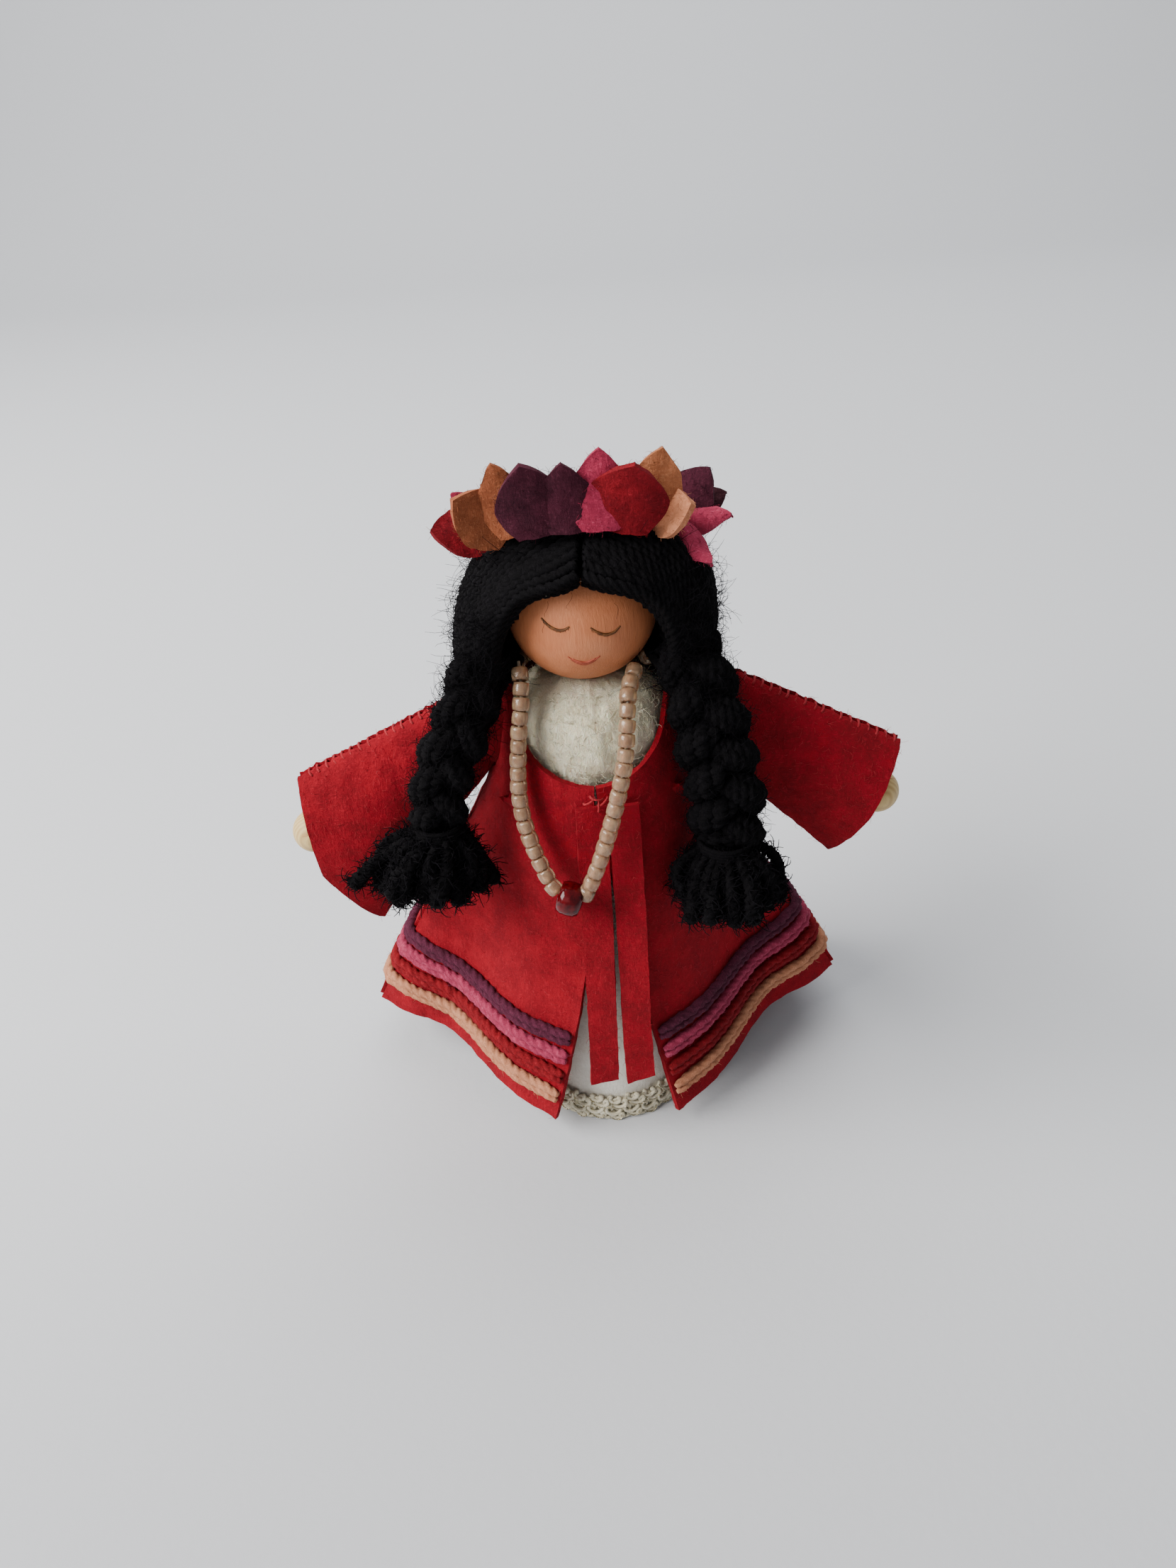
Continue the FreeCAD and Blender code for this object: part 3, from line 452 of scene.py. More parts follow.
def spun(points, radius, lay, start, ends=(1.0, 1.0)):
    """A plied strand through points, that twists once in each lay and may thin at its ends."""
    path, run = [], 0.0
    last = len(points) - 1
    for index, point in enumerate(points):
        if index:
            run += (point - points[index - 1]).length
        share = index / last
        thick = radius * between(ends[0], ends[1], share)
        path.append((point, thick, start + TURN * run / lay))
    return path


def fibres(name, source, count, length, thick, body, finish, slot, seed, curl=1.0, lift=0.7, chosen=None):
    """Fine loose fibres that curl out of a piece's surface."""
    rng = random.Random(seed)
    faces = [face for face in source.data.polygons if chosen is None or chosen(face.center / MM)]
    paths = []
    for face in rng.choices(faces, weights=[face.area for face in faces], k=count):
        point = Vector(face.center) / MM
        loose = scattered(rng, 1, 1, 1).normalized()
        ahead = (face.normal * lift + loose * 0.8).normalized()
        axis = ahead.cross(loose)
        if axis.length < 0.05:
            continue
        bend = Quaternion(axis.normalized(), curl * rng.uniform(0.1, 0.55))
        step = length * rng.uniform(0.4, 1.0) / 4
        path = [(point - face.normal * 0.15, thick, 0.0)]
        for index in range(4):
            point = point + ahead * step
            ahead = bend @ ahead
            path.append((point, thick * (1 - 0.17 * index), 0.0))
        paths.append(path)
    return keep(name, swept(paths, HAIR_FINE), body, finish, slot)


def laid_felt(columns, rows, place, thick, inner, seed=0, rough=0.10):
    """A cut sheet of felt. place(across, down), each from 0 to 1, is its outer face, and the
    inner point lies on the other side of it."""
    bm = bmesh.new()
    bmesh.ops.create_grid(bm, x_segments=columns, y_segments=rows, size=1)
    for vert in bm.verts:
        vert.co = place(0.5 + vert.co.x / 2, 0.5 - vert.co.y / 2)
    bmesh.ops.recalc_face_normals(bm, faces=bm.faces)
    bm.normal_update()
    outward = sum(vert.normal.dot(vert.co - Vector(inner)) for vert in bm.verts) > 0
    made = bmesh.ops.extrude_face_region(bm, geom=bm.faces[:], use_keep_orig=True)["geom"]
    for vert in made:
        if isinstance(vert, bmesh.types.BMVert):
            vert.co -= vert.normal * (thick if outward else -thick)
    bmesh.ops.recalc_face_normals(bm, faces=bm.faces)
    bm.normal_update()
    offset = Vector((seed * 7.3, seed * 3.1, 0))
    for vert in bm.verts:
        soft = noise.noise(vert.co * 0.45 + offset) * rough * 2 + noise.noise(vert.co * 1.6 + offset) * rough
        vert.co += vert.normal * soft
    return closed_mesh(bm)


def turned(corners, steps):
    """A piece turned about Z from (radius, height) corners, closed by its last corner."""
    bm = bmesh.new()
    verts = [bm.verts.new((radius, 0, height)) for radius, height in corners]
    edges = [bm.edges.new(pair) for pair in zip(verts, verts[1:] + verts[:1])]
    bmesh.ops.spin(
        bm, geom=verts + edges, cent=(0, 0, 0), axis=(0, 0, 1), angle=TURN, steps=steps, use_merge=True
    )
    return bm


# ---------------------------------------------------------------- coat

# Half of the coat from the front opening round to the middle of the back: its place (1 is the
# side seam), then its points over the shoulder, at the chest, under the arm and at the hem.
FRONT = [
    (0.00, (0.3, -8.6, 93.6), (0.3, -14.0, 84.0), (0.5, -14.6, 72.8), (11.5, -19.0, 4.6)),
    (0.20, (5.0, -7.6, 93.6), (5.5, -13.3, 84.0), (6.4, -13.8, 72.8), (19.0, -13.0, 6.0)),
    (0.40, (9.0, -5.6, 93.4), (9.8, -10.9, 84.0), (11.2, -11.2, 72.8), (26.5, -4.0, 7.8)),
    (0.60, (12.0, -3.4, 92.8), (12.9, -7.3, 84.0), (14.4, -7.6, 72.8), (33.0, 3.6, 9.4)),
    (0.80, (14.0, -1.5, 92.0), (14.6, -3.7, 84.0), (16.2, -3.8, 72.8), (40.0, 7.2, 11.0)),
    (1.00, (15.0, -0.2, 91.4), (15.4, -0.2, 84.0), (17.2, -0.2, 72.8), (47.8, 11.4, 12.0)),
]
BACK = [
    (1.00, (15.0, 0.2, 91.4), (15.4, 0.2, 84.0), (17.2, 0.2, 72.8), (47.8, 12.1, 12.0)),
    (1.20, (14.0, 1.8, 92.0), (14.6, 4.0, 84.0), (16.4, 4.6, 72.8), (46.6, 23.0, 11.0)),
    (1.40, (12.0, 4.4, 92.9), (12.9, 8.4, 84.0), (14.4, 9.6, 72.8), (41.0, 32.0, 10.0)),
    (1.60, (9.0, 8.8, 93.5), (9.8, 11.9, 84.0), (11.2, 13.6, 72.8), (28.0, 36.0, 8.8)),
    (1.80, (5.0, 11.6, 93.7), (5.5, 14.0, 84.0), (6.4, 16.0, 72.8), (13.5, 35.6, 7.8)),
    (2.00, (0.0, 12.8, 93.8), (0.0, 14.8, 84.0), (0.0, 17.0, 72.8), (0.0, 37.0, 7.4)),
]
HEM = 3.0
HEM_FALL = 69.5
UNDERARM = 2
SOFT_ACROSS = 0.14
SOFT_DOWN = 0.22
OPENING = 11.0
HEM_WAVE = 0.9
FELT = 1.1
NECK_LOW = 78.4
NECK_RISE = 12.1
NECK_HALF = 12.6
ARMHOLE_HEIGHT = 83.2
ARMHOLE_TALL = 8.0
ARMHOLE_DEEP = 4.6
LEVEL_STEPS = 60


def coat_corner(stations, place, level):
    """A point of the coat's straight-sided pattern."""
    upper = min(int(level), 2)
    for first, last in zip(stations, stations[1:]):
        if place <= last[0]:
            break
    share = (place - first[0]) / (last[0] - first[0])
    high = Vector(first[1 + upper]).lerp(Vector(last[1 + upper]), share)
    low = Vector(first[2 + upper]).lerp(Vector(last[2 + upper]), share)
    return high.lerp(low, level - upper)


def coat_point(side, front, place, level):
    """A point of the coat's inner face, rounded off and with the hem's soft waves."""
    stations = FRONT if front else BACK
    low, high = stations[0][0], stations[-1][0]
    reach = min(SOFT_ACROSS, place - low, high - place)
    lift = min(SOFT_DOWN, level, HEM - level)
    point = Vector()
    for over in (-1, 0, 1):
        for down in (-1, 0, 1):
            weight = (2 - abs(over)) * (2 - abs(down)) / 16
            point += weight * coat_corner(stations, place + reach * over, level + lift * down)
    fall = max(0.0, level - UNDERARM)
    if front:
        opening = OPENING * (fall ** (1.7 if side < 0 else 1.2) - fall) - between(0.32, 0.0, fall)
        point.x += opening * (1 - ease(place * 3.5))
    seam = 1 - ease(abs(place - 1) * 8)
    point.y += (1 if front else -1) * seam * (0.2 + 0.15 * fall)
    point.x *= side
    wave = sin(TURN * (1.55 * place - 0.13)) if front else sin(TURN * 2.0 * place)
    point.y -= fall ** 1.5 * wave * HEM_WAVE * ease(place * 6) * ease((1.04 - place) * 6 if front else 1)
    return point


def coat_outward(side, front, place, level):
    """The direction out of the coat's face."""
    step = 0.01
    low, high = (0.0, 1.0) if front else (1.0, 2.0)
    across = coat_point(side, front, min(place + step, high), level) - coat_point(
        side, front, max(place - step, low), level
    )
    down = coat_point(side, front, place, min(level + step, HEM)) - coat_point(
        side, front, place, max(level - step, 0.0)
    )
    return (across.cross(down) * -side).normalized()


def settle(test, low, high):
    """Where a test turns from true to false between two numbers."""
    for _ in range(14):
        middle = (low + high) / 2
        if test(middle):
            low = middle
        else:
            high = middle
    return high


def neck_level(place):
    """How far down the front starts, along the neckline's U."""

    def cut_away(level):
        point = coat_point(1, True, place, level)
        if point.x >= NECK_HALF:
            return False
        return point.z > NECK_LOW + NECK_RISE * (1 - sqrt(1 - (point.x / NECK_HALF) ** 2))

    return settle(cut_away, 0.0, 2.0) if cut_away(0.0) else 0.0


def armhole_edge(front, level):
    """How far round the panel goes at a level, before the armhole's oval or the side seam."""

    def in_cloth(share):
        place = share if front else 2 - share
        point = coat_point(1, front, place, level)
        rise = (point.z - ARMHOLE_HEIGHT) / ARMHOLE_TALL
        if abs(rise) >= 1:
            return True
        return abs(point.y) > ARMHOLE_DEEP * sqrt(1 - rise * rise)

    return 1.0 if in_cloth(1.0) else settle(in_cloth, 0.4, 1.0)


def armhole_table(front):
    """The armhole's edge at even steps of level, with its two ends eased into the side seam."""
    raw = [armhole_edge(front, min(max(step / LEVEL_STEPS, 0.0), 2.6)) for step in range(-6, 157)]
    return [sum(raw[index:index + 13]) / 13 for index in range(151)]


ARMHOLE = {True: armhole_table(True), False: armhole_table(False)}
NECK_LEVELS = [neck_level(step / LEVEL_STEPS) for step in range(LEVEL_STEPS + 1)]


def looked_up(table, where):
    """What a table of even steps says at a place along it."""
    where = min(max(where * LEVEL_STEPS, 0.0), len(table) - 1)
    index = min(int(where), len(table) - 2)
    return between(table[index], table[index + 1], where - index)


def front_panel(side):
    def place(across, down):
        across = across if side > 0 else 1 - across
        level = between(looked_up(NECK_LEVELS, across), HEM, down)
        station = across * looked_up(ARMHOLE[True], level)
        level = between(looked_up(NECK_LEVELS, station), HEM, down)
        outward = coat_outward(side, True, station, level)
        return coat_point(side, True, station, level) + outward * FELT

    return place


def back_panel(across, down):
    """The back, from the left side seam round to the right one."""
    side = -1 if across < 0.5 else 1
    share = 1 - 2 * abs(across - 0.5)
    level = HEM * down
    station = 2 - (1 - share) * looked_up(ARMHOLE[False], level)
    return coat_point(side, False, station, level) + coat_outward(side, False, station, level) * FELT


coat_fronts = {}
for side, name in ((-1, "left"), (1, "right")):
    cloth = laid_felt(46, 76, front_panel(side), FELT, (0, 8, 50), seed=side)
    nodes = [f"coat_{name}_front"]
    coat_fronts[name] = keep(f"{name}_coat_front", cloth, "doll", RED_FELT, "red_felt", nodes, 40)
cloth = laid_felt(90, 76, back_panel, FELT, (0, -8, 50), seed=5)
coat_back = keep("back_coat_panel", cloth, "doll", RED_FELT, "red_felt", ["coat_back"], 40)
for name, source, count in (
    ("left_front_nap", coat_fronts["left"], 1400),
    ("right_front_nap", coat_fronts["right"], 1400),
    ("back_nap", coat_back, 1500),
):
    fibres(name, source, count, 1.8, NAP_THICK, "doll", RED_FUZZ, "red_felt", count + len(name))


# ---------------------------------------------------------------- yarn bands round the hem

BANDS = {"plum": 22.6, "pink": 18.0, "red": 13.2, "peach": 8.2}
BAND_LIFT = 0.75
BAND_STEP = 0.42
CHAIN_PITCH = 2.3
CHAIN_TWIST = 5.5


def band_line(rise, over):
    """Points of one yarn, from the left front edge round the back to the right one."""
    line = []
    for side, front, first, last in (
        (-1, True, 0.01, 0.995),
        (-1, False, 1.005, 2.0),
        (1, False, 1.99, 1.005),
        (1, True, 0.995, 0.01),
    ):
        for step in range(34):
            place = between(first, last, step / 33)
            level = HEM - (rise + over - 2.2 * max(0.0, 1 - place)) / HEM_FALL
            outward = coat_outward(side, front, place, level)
            line.append(coat_point(side, front, place, level) + outward * (FELT + BAND_LIFT))
    return evenly(line, BAND_STEP)


for number, (colour, rise) in enumerate(BANDS.items()):
    paths = []
    for strand, over in enumerate((0.72, -0.72)):
        path = []
        for index, point in enumerate(band_line(rise, over)):
            run = index * BAND_STEP
            phase = TURN * (run / CHAIN_PITCH + 0.5 * strand)
            swell = 0.98 + 0.05 * sin(phase) + 0.14 * noise.noise(point * 0.35)
            sway = Vector((0, 0, 0.10 * sin(phase / 2 + number)))
            path.append((point + sway, swell, TURN * run / CHAIN_TWIST))
        for index in range(4):
            for end in (index, -1 - index):
                centre, radius, turn = path[end]
                path[end] = (centre, radius * (0.55 + 0.13 * index), turn)
        paths.append(path)
    yarn, slot = BAND_YARN[colour], f"{colour}_yarn"
    band = keep(f"{colour}_hem_yarn", swept(paths, PLIED), "doll", yarn, slot, [f"hem_band_{colour}"])
    fibres(f"{colour}_hem_fuzz", band, 700, 1.4, 0.035, "doll", yarn, slot, 70 + number)


# ---------------------------------------------------------------- dress, bodice and crocheted trim

DRESS_LOW = 1.0
DRESS_HIGH = 75.5


def dress_radius(height):
    return between(15.6, 11.4, (height - DRESS_LOW) / (DRESS_HIGH - DRESS_LOW))


def dress_place(across, down):
    """Once round the peg from a lapped seam at the back, leaning in towards the top."""
    angle = TURN * (0.25 + 1.03 * across)
    height = between(DRESS_HIGH, DRESS_LOW, down)
    radius = dress_radius(height) + 0.5 * across + 0.12 * noise.noise(Vector((across * 9, down * 5, 0)))
    return ring(angle, radius, radius, height)


cloth = laid_felt(96, 30, dress_place, 1.0, (0, 0, 40), seed=9, rough=0.05)
dress = keep("cream_dress", cloth, "doll", CREAM_FELT, "cream_felt", ["felt_dress"], 40)


def wool_bodice():
    """Carded wool wound round the chest and neck."""
    profile = [
        (9.6, 74.6), (11.4, 75.2), (12.6, 78.6), (13.1, 82.6), (12.9, 86.4), (11.6, 89.6), (9.4, 91.6),
        (6.2, 92.5), (3.2, 92.9), (3.1, 88.4), (9.2, 86.2), (9.7, 76.0),
    ]
    bm = turned(profile, 96)
    bmesh.ops.subdivide_edges(bm, edges=bm.edges[:], cuts=1, use_grid_fill=True, smooth=0.6)
    bmesh.ops.recalc_face_normals(bm, faces=bm.faces)
    for vert in bm.verts:
        lock = noise.noise(vert.co * 0.33) * 0.6 + noise.noise(vert.co * 0.9) * 0.4
        vert.co += vert.normal * lock
    return closed_mesh(bm)


bodice = keep("wool_chest", wool_bodice(), "doll", WOOL_FLUFF, "cream_wool", ["wool_bodice"])
fibres(
    "chest_fluff", bodice, 4200, 3.0, 0.05, "doll", CREAM_FUZZ, "cream_wool", 31, curl=1.6, lift=0.35,
    chosen=lambda spot: hypot(spot.x, spot.y) > 8 and spot.z > 77,
)

TRIM_RADIUS = 16.35
TRIM_LOOPS = 58


def trim_round(height, size, depth, shift, thick):
    """A row of crocheted loops round the dress."""
    path = []
    for step in range(TRIM_LOOPS * 12):
        run = step / 12
        swing = TURN * run + shift
        angle = TURN * run / TRIM_LOOPS - sin(swing) * size / TRIM_RADIUS
        radius = TRIM_RADIUS + depth * cos(swing / 2 + shift)
        rise = height + size * cos(swing) + 0.25 * sin(run * 1.7)
        path.append((ring(angle, radius, radius, rise), thick, swing))
    return path


trim_rows = [(1.25, 0.75, 0.35, 0.0), (2.9, 1.0, 0.45, 2.1), (4.6, 0.8, 0.40, 4.0), (5.6, 0.55, 0.3, 1.0)]
loops = swept([trim_round(*row, 0.40) for row in trim_rows], ROUND)
trim = keep("crochet_trim", loops, "doll", CREAM_YARN, "crochet_trim", ["hem_trim"])
sparks = swept([trim_round(h, s * 1.1, d + 0.35, t + 0.9, 0.13) for h, s, d, t in trim_rows], HAIR_FINE)
glitter = keep("trim_glitter", sparks, "doll", LUREX, "crochet_trim")


# ---------------------------------------------------------------- arms

PIVOT_REACH = 16.3
SHOULDER = 84.0
ARM_DROP = radians(30)
SLEEVE_START = -3.2
SLEEVE_END = 38.4
HAND_REACH = 40.5
STITCH_PITCH = 1.75
# For the left arm (-1) and the right one (1): how far past SLEEVE_END the cuff's underside
# goes, how much shorter its top is, how high the sleeve is puffed at the shoulder, how far it
# hangs at the cuff, and how far before SLEEVE_END the stitches stop.
CUFF_REACH = {-1: 4.2, 1: 1.0}
CUFF_SHORTER = {-1: 7.6, 1: 1.6}
PUFF = {-1: 0.6, 1: 1.6}
CUFF_HANG = {-1: 5.0, 1: 1.8}
STITCHES_STOP = {-1: 4.2, 1: 1.4}


def arm_frame(side):
    """Shoulder point, the way along the arm and the way up across it."""
    pivot = Vector((side * PIVOT_REACH, 0, SHOULDER))
    along = Vector((side * cos(ARM_DROP), 0, -sin(ARM_DROP)))
    across = Vector((side * sin(ARM_DROP), 0, cos(ARM_DROP)))
    return pivot, along, across


def sleeve_section(side, reach):
    """Centre, upward direction, half height and half depth of a sleeve at a reach."""
    pivot, along, across = arm_frame(side)
    out = ease((reach - SLEEVE_START) / 8)
    share = max(0.0, (reach - 4.6) / (SLEEVE_END - 4.6))
    raised = between(PUFF[side], 0.0, share)
    hang = between(0.0, CUFF_HANG[side], share)
    centre = Vector((side * 13.6, 0, ARMHOLE_HEIGHT + 0.4)).lerp(pivot + along * 4.8, out)
    if reach > SLEEVE_START + 8:
        centre = pivot + along * reach
    centre = centre + across * ((raised - hang) * out)
    tall = between(9.6, between(7.3, 11.3, share) + raised + hang, out)
    deep = between(4.6, between(3.9, 5.9, share), out)
    return centre, UP.lerp(across, out).normalized(), tall, deep


def sleeve_place(side, scallops):
    def place(across, down):
        rise = max(0.0, cos(TURN * across))
        cuff = SLEEVE_END + (CUFF_REACH[side] - CUFF_SHORTER[side] * rise)
        reach = between(SLEEVE_START, cuff, down)
        centre, upward, tall, deep = sleeve_section(side, reach)
        angle = TURN * between(0.004, 0.996, across)
        rise = cos(angle)
        belly = copysign(abs(sin(angle)) ** 1.35, sin(angle))
        lap = copysign(0.62 if rise > 0 else 0.62 * ease(1 + rise), sin(angle))
        sag = 1 - 0.10 * sin(TURN * down * 0.5) * max(0.0, -rise)
        height = tall * rise * sag
        if rise > 0.85:
            height -= (rise - 0.85) * 2.4 * abs(cos(pi * reach / scallops))
        bulge = 1 + 0.10 * noise.noise(Vector((reach * 0.12, angle, side)))
        return centre + upward * height + Vector((0, -1, 0)) * (belly * (deep - 0.62) * bulge + lap)

    return place


def whip_stitches(side):
    """Thread loops over the sleeve's two top edges."""
    rng = random.Random(17 + side)
    paths = []
    reach = 6.5
    while reach < SLEEVE_END - STITCHES_STOP[side]:
        centre, upward, tall, _ = sleeve_section(side, reach)
        along = arm_frame(side)[1]
        slant = rng.uniform(0.3, 0.7)
        loop = []
        for step in range(9):
            angle = pi * (step / 8 * 1.3 - 0.15)
            height = 0.55 * sin(angle) - 1.1 + 0.25
            point = centre + upward * (tall + height) + Vector((0, -1.42 * cos(angle), 0))
            loop.append((point + along * (slant * (step / 8 - 0.5) * 2), 0.24, step * 0.8))
        paths.append(loop)
        reach += STITCH_PITCH * rng.uniform(0.85, 1.15)
    return swept(paths, ROUND)


def hand_bead(side):
    """Turned wooden bead, bored along the arm, with a small chamfer at each end of its bore."""
    radius, bore = 4.0, 0.9
    ball = [(bore, -3.2), (bore, 3.2), (bore + 0.35, radius - 0.22)]
    start = atan2(radius - 0.22, bore + 0.35)
    for step in range(1, 20):
        angle = between(start, -start, step / 20)
        ball.append((radius * cos(angle), radius * sin(angle)))
    ball.append((bore + 0.35, -radius + 0.22))
    bm = turned(ball, 48)
    pivot, along, _ = arm_frame(side)
    aim(bm, pivot + along * HAND_REACH, along)
    return closed_mesh(bm)


for side, name, scallops in ((-1, "left", 1.9), (1, "right", 3.6)):
    arm = f"{name}_arm"
    cloth = laid_felt(60, 52, sleeve_place(side, scallops), FELT * 0.9, (side * 32, 0, 74), seed=3 + side)
    sleeve = keep(f"{name}_felt_sleeve", cloth, None, RED_FELT, "red_felt", [f"{name}_sleeve"], 40)
    fibres(
        f"{name}_sleeve_nap", sleeve, 1300, 1.8, NAP_THICK, arm, RED_FUZZ, "red_felt", 44 + side,
        chosen=lambda spot: abs(spot.x) > 25,
    )
    stitches = [f"{name}_sleeve_stitches"]
    keep(f"{name}_whip_stitches", whip_stitches(side), arm, RED_THREAD, "red_thread", stitches)
    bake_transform(sleeve)
    keep(f"{name}_hand", hand_bead(side), arm, HAND_WOOD, "bare_wood", [f"{name}_hand_bead"], 50)


# ---------------------------------------------------------------- head and face

HEAD_CENTRE = Vector((0, 0, 105))
HEAD_RADIUS = 12.5


def face_spot(across, rise, lift=0.0):
    """A point on the head: degrees round from the front and degrees up from its middle."""
    turn, tilt = radians(across), radians(rise)
    ahead = Vector((sin(turn) * cos(tilt), -cos(turn) * cos(tilt), sin(tilt)))
    return HEAD_CENTRE + ahead * (HEAD_RADIUS + lift)


def turned_head():
    """The ball with its bored foot."""
    ball = []
    for step in range(49):
        angle = pi * (0.5 - step / 48 * 0.915)
        ball.append((HEAD_RADIUS * cos(angle), HEAD_CENTRE.z + HEAD_RADIUS * sin(angle)))
    ball += [(3.1, 93.4), (3.1, 98.1), (0.0, 98.1)]
    ball[0] = (0.0, HEAD_CENTRE.z + HEAD_RADIUS)
    return closed_mesh(turned(ball, 96))


keep("painted_head", turned_head(), "doll", HEAD_PAINT, "painted_wood", ["head_ball"], 45)

LEFT_LID = [(-32.0, 11.6), (-26.0, 6.8), (-19.6, 4.2), (-14.6, 4.6), (-10.4, 7.0)]
RIGHT_LID = [(4.6, 5.4), (9.6, 1.2), (15.2, -1.4), (21.4, -0.9), (27.0, 2.6)]
SMILE = [(-13.8, -18.2), (-8.3, -22.9), (-1.3, -25.6), (5.4, -23.4), (11.0, -19.4)]


def lid_strokes(lid, seed):
    """A closed lid: one curved line and the short lashes brushed down across it."""
    rng = random.Random(seed)
    line = through([face_spot(*spot) for spot in lid], 0.28)
    last = len(line) - 1
    paths = [[(point, 0.14 + 0.14 * sin(pi * index / last), 0) for index, point in enumerate(line)]]
    for index in range(1, last):
        point = line[index]
        down = Vector((0.25 * (index / last - 0.5), 0, -1)).normalized()
        length = rng.uniform(0.25, 0.62)
        lash = []
        for step in range(4):
            spot = point + down * (length * (step / 3 - 0.25))
            spot = HEAD_CENTRE + (spot - HEAD_CENTRE).normalized() * (HEAD_RADIUS + 0.01)
            lash.append((spot, 0.10 - 0.02 * step, 0))
        paths.append(lash)
    return swept(paths, ROUND)


def smile_strokes():
    rng = random.Random(3)
    paths = []
    for shift in (0.0, 0.9, -0.9):
        line = through([face_spot(a, b + shift * 1.2) for a, b in SMILE], 0.3)
        line = line if not shift else line[2 + int(shift > 0):-3]
        last = len(line) - 1
        path = []
        for index, point in enumerate(line):
            thick = 0.09 + 0.14 * sin(pi * index / last) + rng.uniform(0, 0.03)
            path.append((point, thick, 0))
        paths.append(path)
    return swept(paths, ROUND)


keep("left_lashes", lid_strokes(LEFT_LID, 1), "doll", LASH_PAINT, "painted_wood")
keep("right_lashes", lid_strokes(RIGHT_LID, 2), "doll", LASH_PAINT, "painted_wood")
keep("smile", smile_strokes(), "doll", LIP_PAINT, "painted_wood")


# ---------------------------------------------------------------- hair

CAP_CENTRE = Vector((1.0, 2.0, 105.0))
CAP_RADIUS = 17.3
YARN = 0.92
BRAIDS = {
    "left": [(-16.4, -5.5, 100.0), (-20.2, -9.6, 91.0), (-24.9, -11.3, 81.5), (-27.2, -12.2, 72.4)],
    "right": [
        (15.8, -6.3, 100.5), (18.6, -10.4, 91.5), (20.4, -12.2, 82.0), (22.0, -13.4, 74.0),
        (21.8, -14.0, 66.4),
    ],
}
BRAID_HALF = {"left": (4.4, 5.3, 4.9), "right": (5.0, 6.7, 6.4)}
BRAID_STEP = 0.55
WEAVE = 20.5
BUNDLE_TWIST = 30
TASSELS = {
    "left": [
        ((-27.0, -12.4, 70.6), 4.0, 3.8),
        ((-29.0, -13.0, 66.6), 9.0, 5.6),
        ((-30.4, -13.3, 58.2), 11.4, 6.0),
    ],
    "right": [
        ((21.7, -14.4, 64.6), 4.8, 4.6),
        ((21.7, -16.0, 60.8), 9.2, 6.0),
        ((21.7, -17.8, 53.6), 9.8, 6.4),
    ],
}
TASSEL_ENDS = 46
FIRST_STRAND = 38.0
LAST_STRAND = 205.0


def cap_strand(side, name, turn, layer, rng):
    """A yarn from the parting, over the side of the cap and down into the top of a braid."""
    tilt = radians(turn)
    back = (turn - FIRST_STRAND) / (LAST_STRAND - FIRST_STRAND)
    start = Vector((side * 0.035, -cos(tilt), sin(tilt))).normalized()
    reach = between(HEAD_RADIUS + 0.9 + layer * 1.5, CAP_RADIUS, ease((turn - FIRST_STRAND) / 16))
    centre = HEAD_CENTRE.lerp(CAP_CENTRE, ease((turn - FIRST_STRAND) / 30))
    swing = radians(between(-20, 262, back))
    across = sin(swing) * (4.1 if sin(swing) > 0 else 5.4)
    shift = Vector((side * across, -3.0 * cos(swing), 0))
    root = Vector(BRAIDS[name][0])
    last = root + shift + Vector((0, 0, -2.5))
    way_down = (last - centre).normalized()
    angle = start.angle(way_down)
    lift = (0.40 if side < 0 else 0.32) * (1 - ease(back * 2.6))
    line = []
    for step in range(15):
        share = step / 14
        way = (start * sin((1 - share) * angle) + way_down * sin(share * angle)) / sin(angle)
        way = (way + UP * lift * sin(pi * share ** 1.5)).normalized()
        distance = between(min(reach, CAP_RADIUS), (last - centre).length, share ** 2.2)
        swell = (1.3 if side > 0 else -0.2) * sin(pi * share)
        line.append(centre + way * (distance + swell + rng.uniform(-0.12, 0.12)))
    line.append(root.lerp(Vector(BRAIDS[name][1]), 0.7) + shift * 0.85)
    line.append(Vector(BRAIDS[name][1]) + shift * 0.45 + Vector((0, 0, -3)))
    return spun(through(line, 0.7), YARN, 4.4, rng.uniform(0, TURN))


for side, name in ((-1, "left"), (1, "right")):
    rng = random.Random(40 + side)
    paths = []
    turn = FIRST_STRAND
    while turn < LAST_STRAND:
        paths.append(cap_strand(side, name, turn, 3, rng))
        turn += 5.0
    for layer in range(3):
        for index in range(6):
            paths.append(cap_strand(side, name, FIRST_STRAND + 3.2 * index + layer, layer, rng))
    hair = keep(f"{name}_hair", swept(paths, PLIED), "doll", HAIR_YARN, "hair_yarn", [f"hair_{name}_half"])
    fibres(
        f"{name}_hair_fuzz", hair, 3000, 6.5, 0.05, "doll", HAIR_FUZZ, "hair_yarn", 60 + side,
        curl=1.7, lift=0.8,
        chosen=lambda spot: (spot - CAP_CENTRE).length > 16.5 and (spot.y > -8.5 or abs(spot.x) > 15),
    )


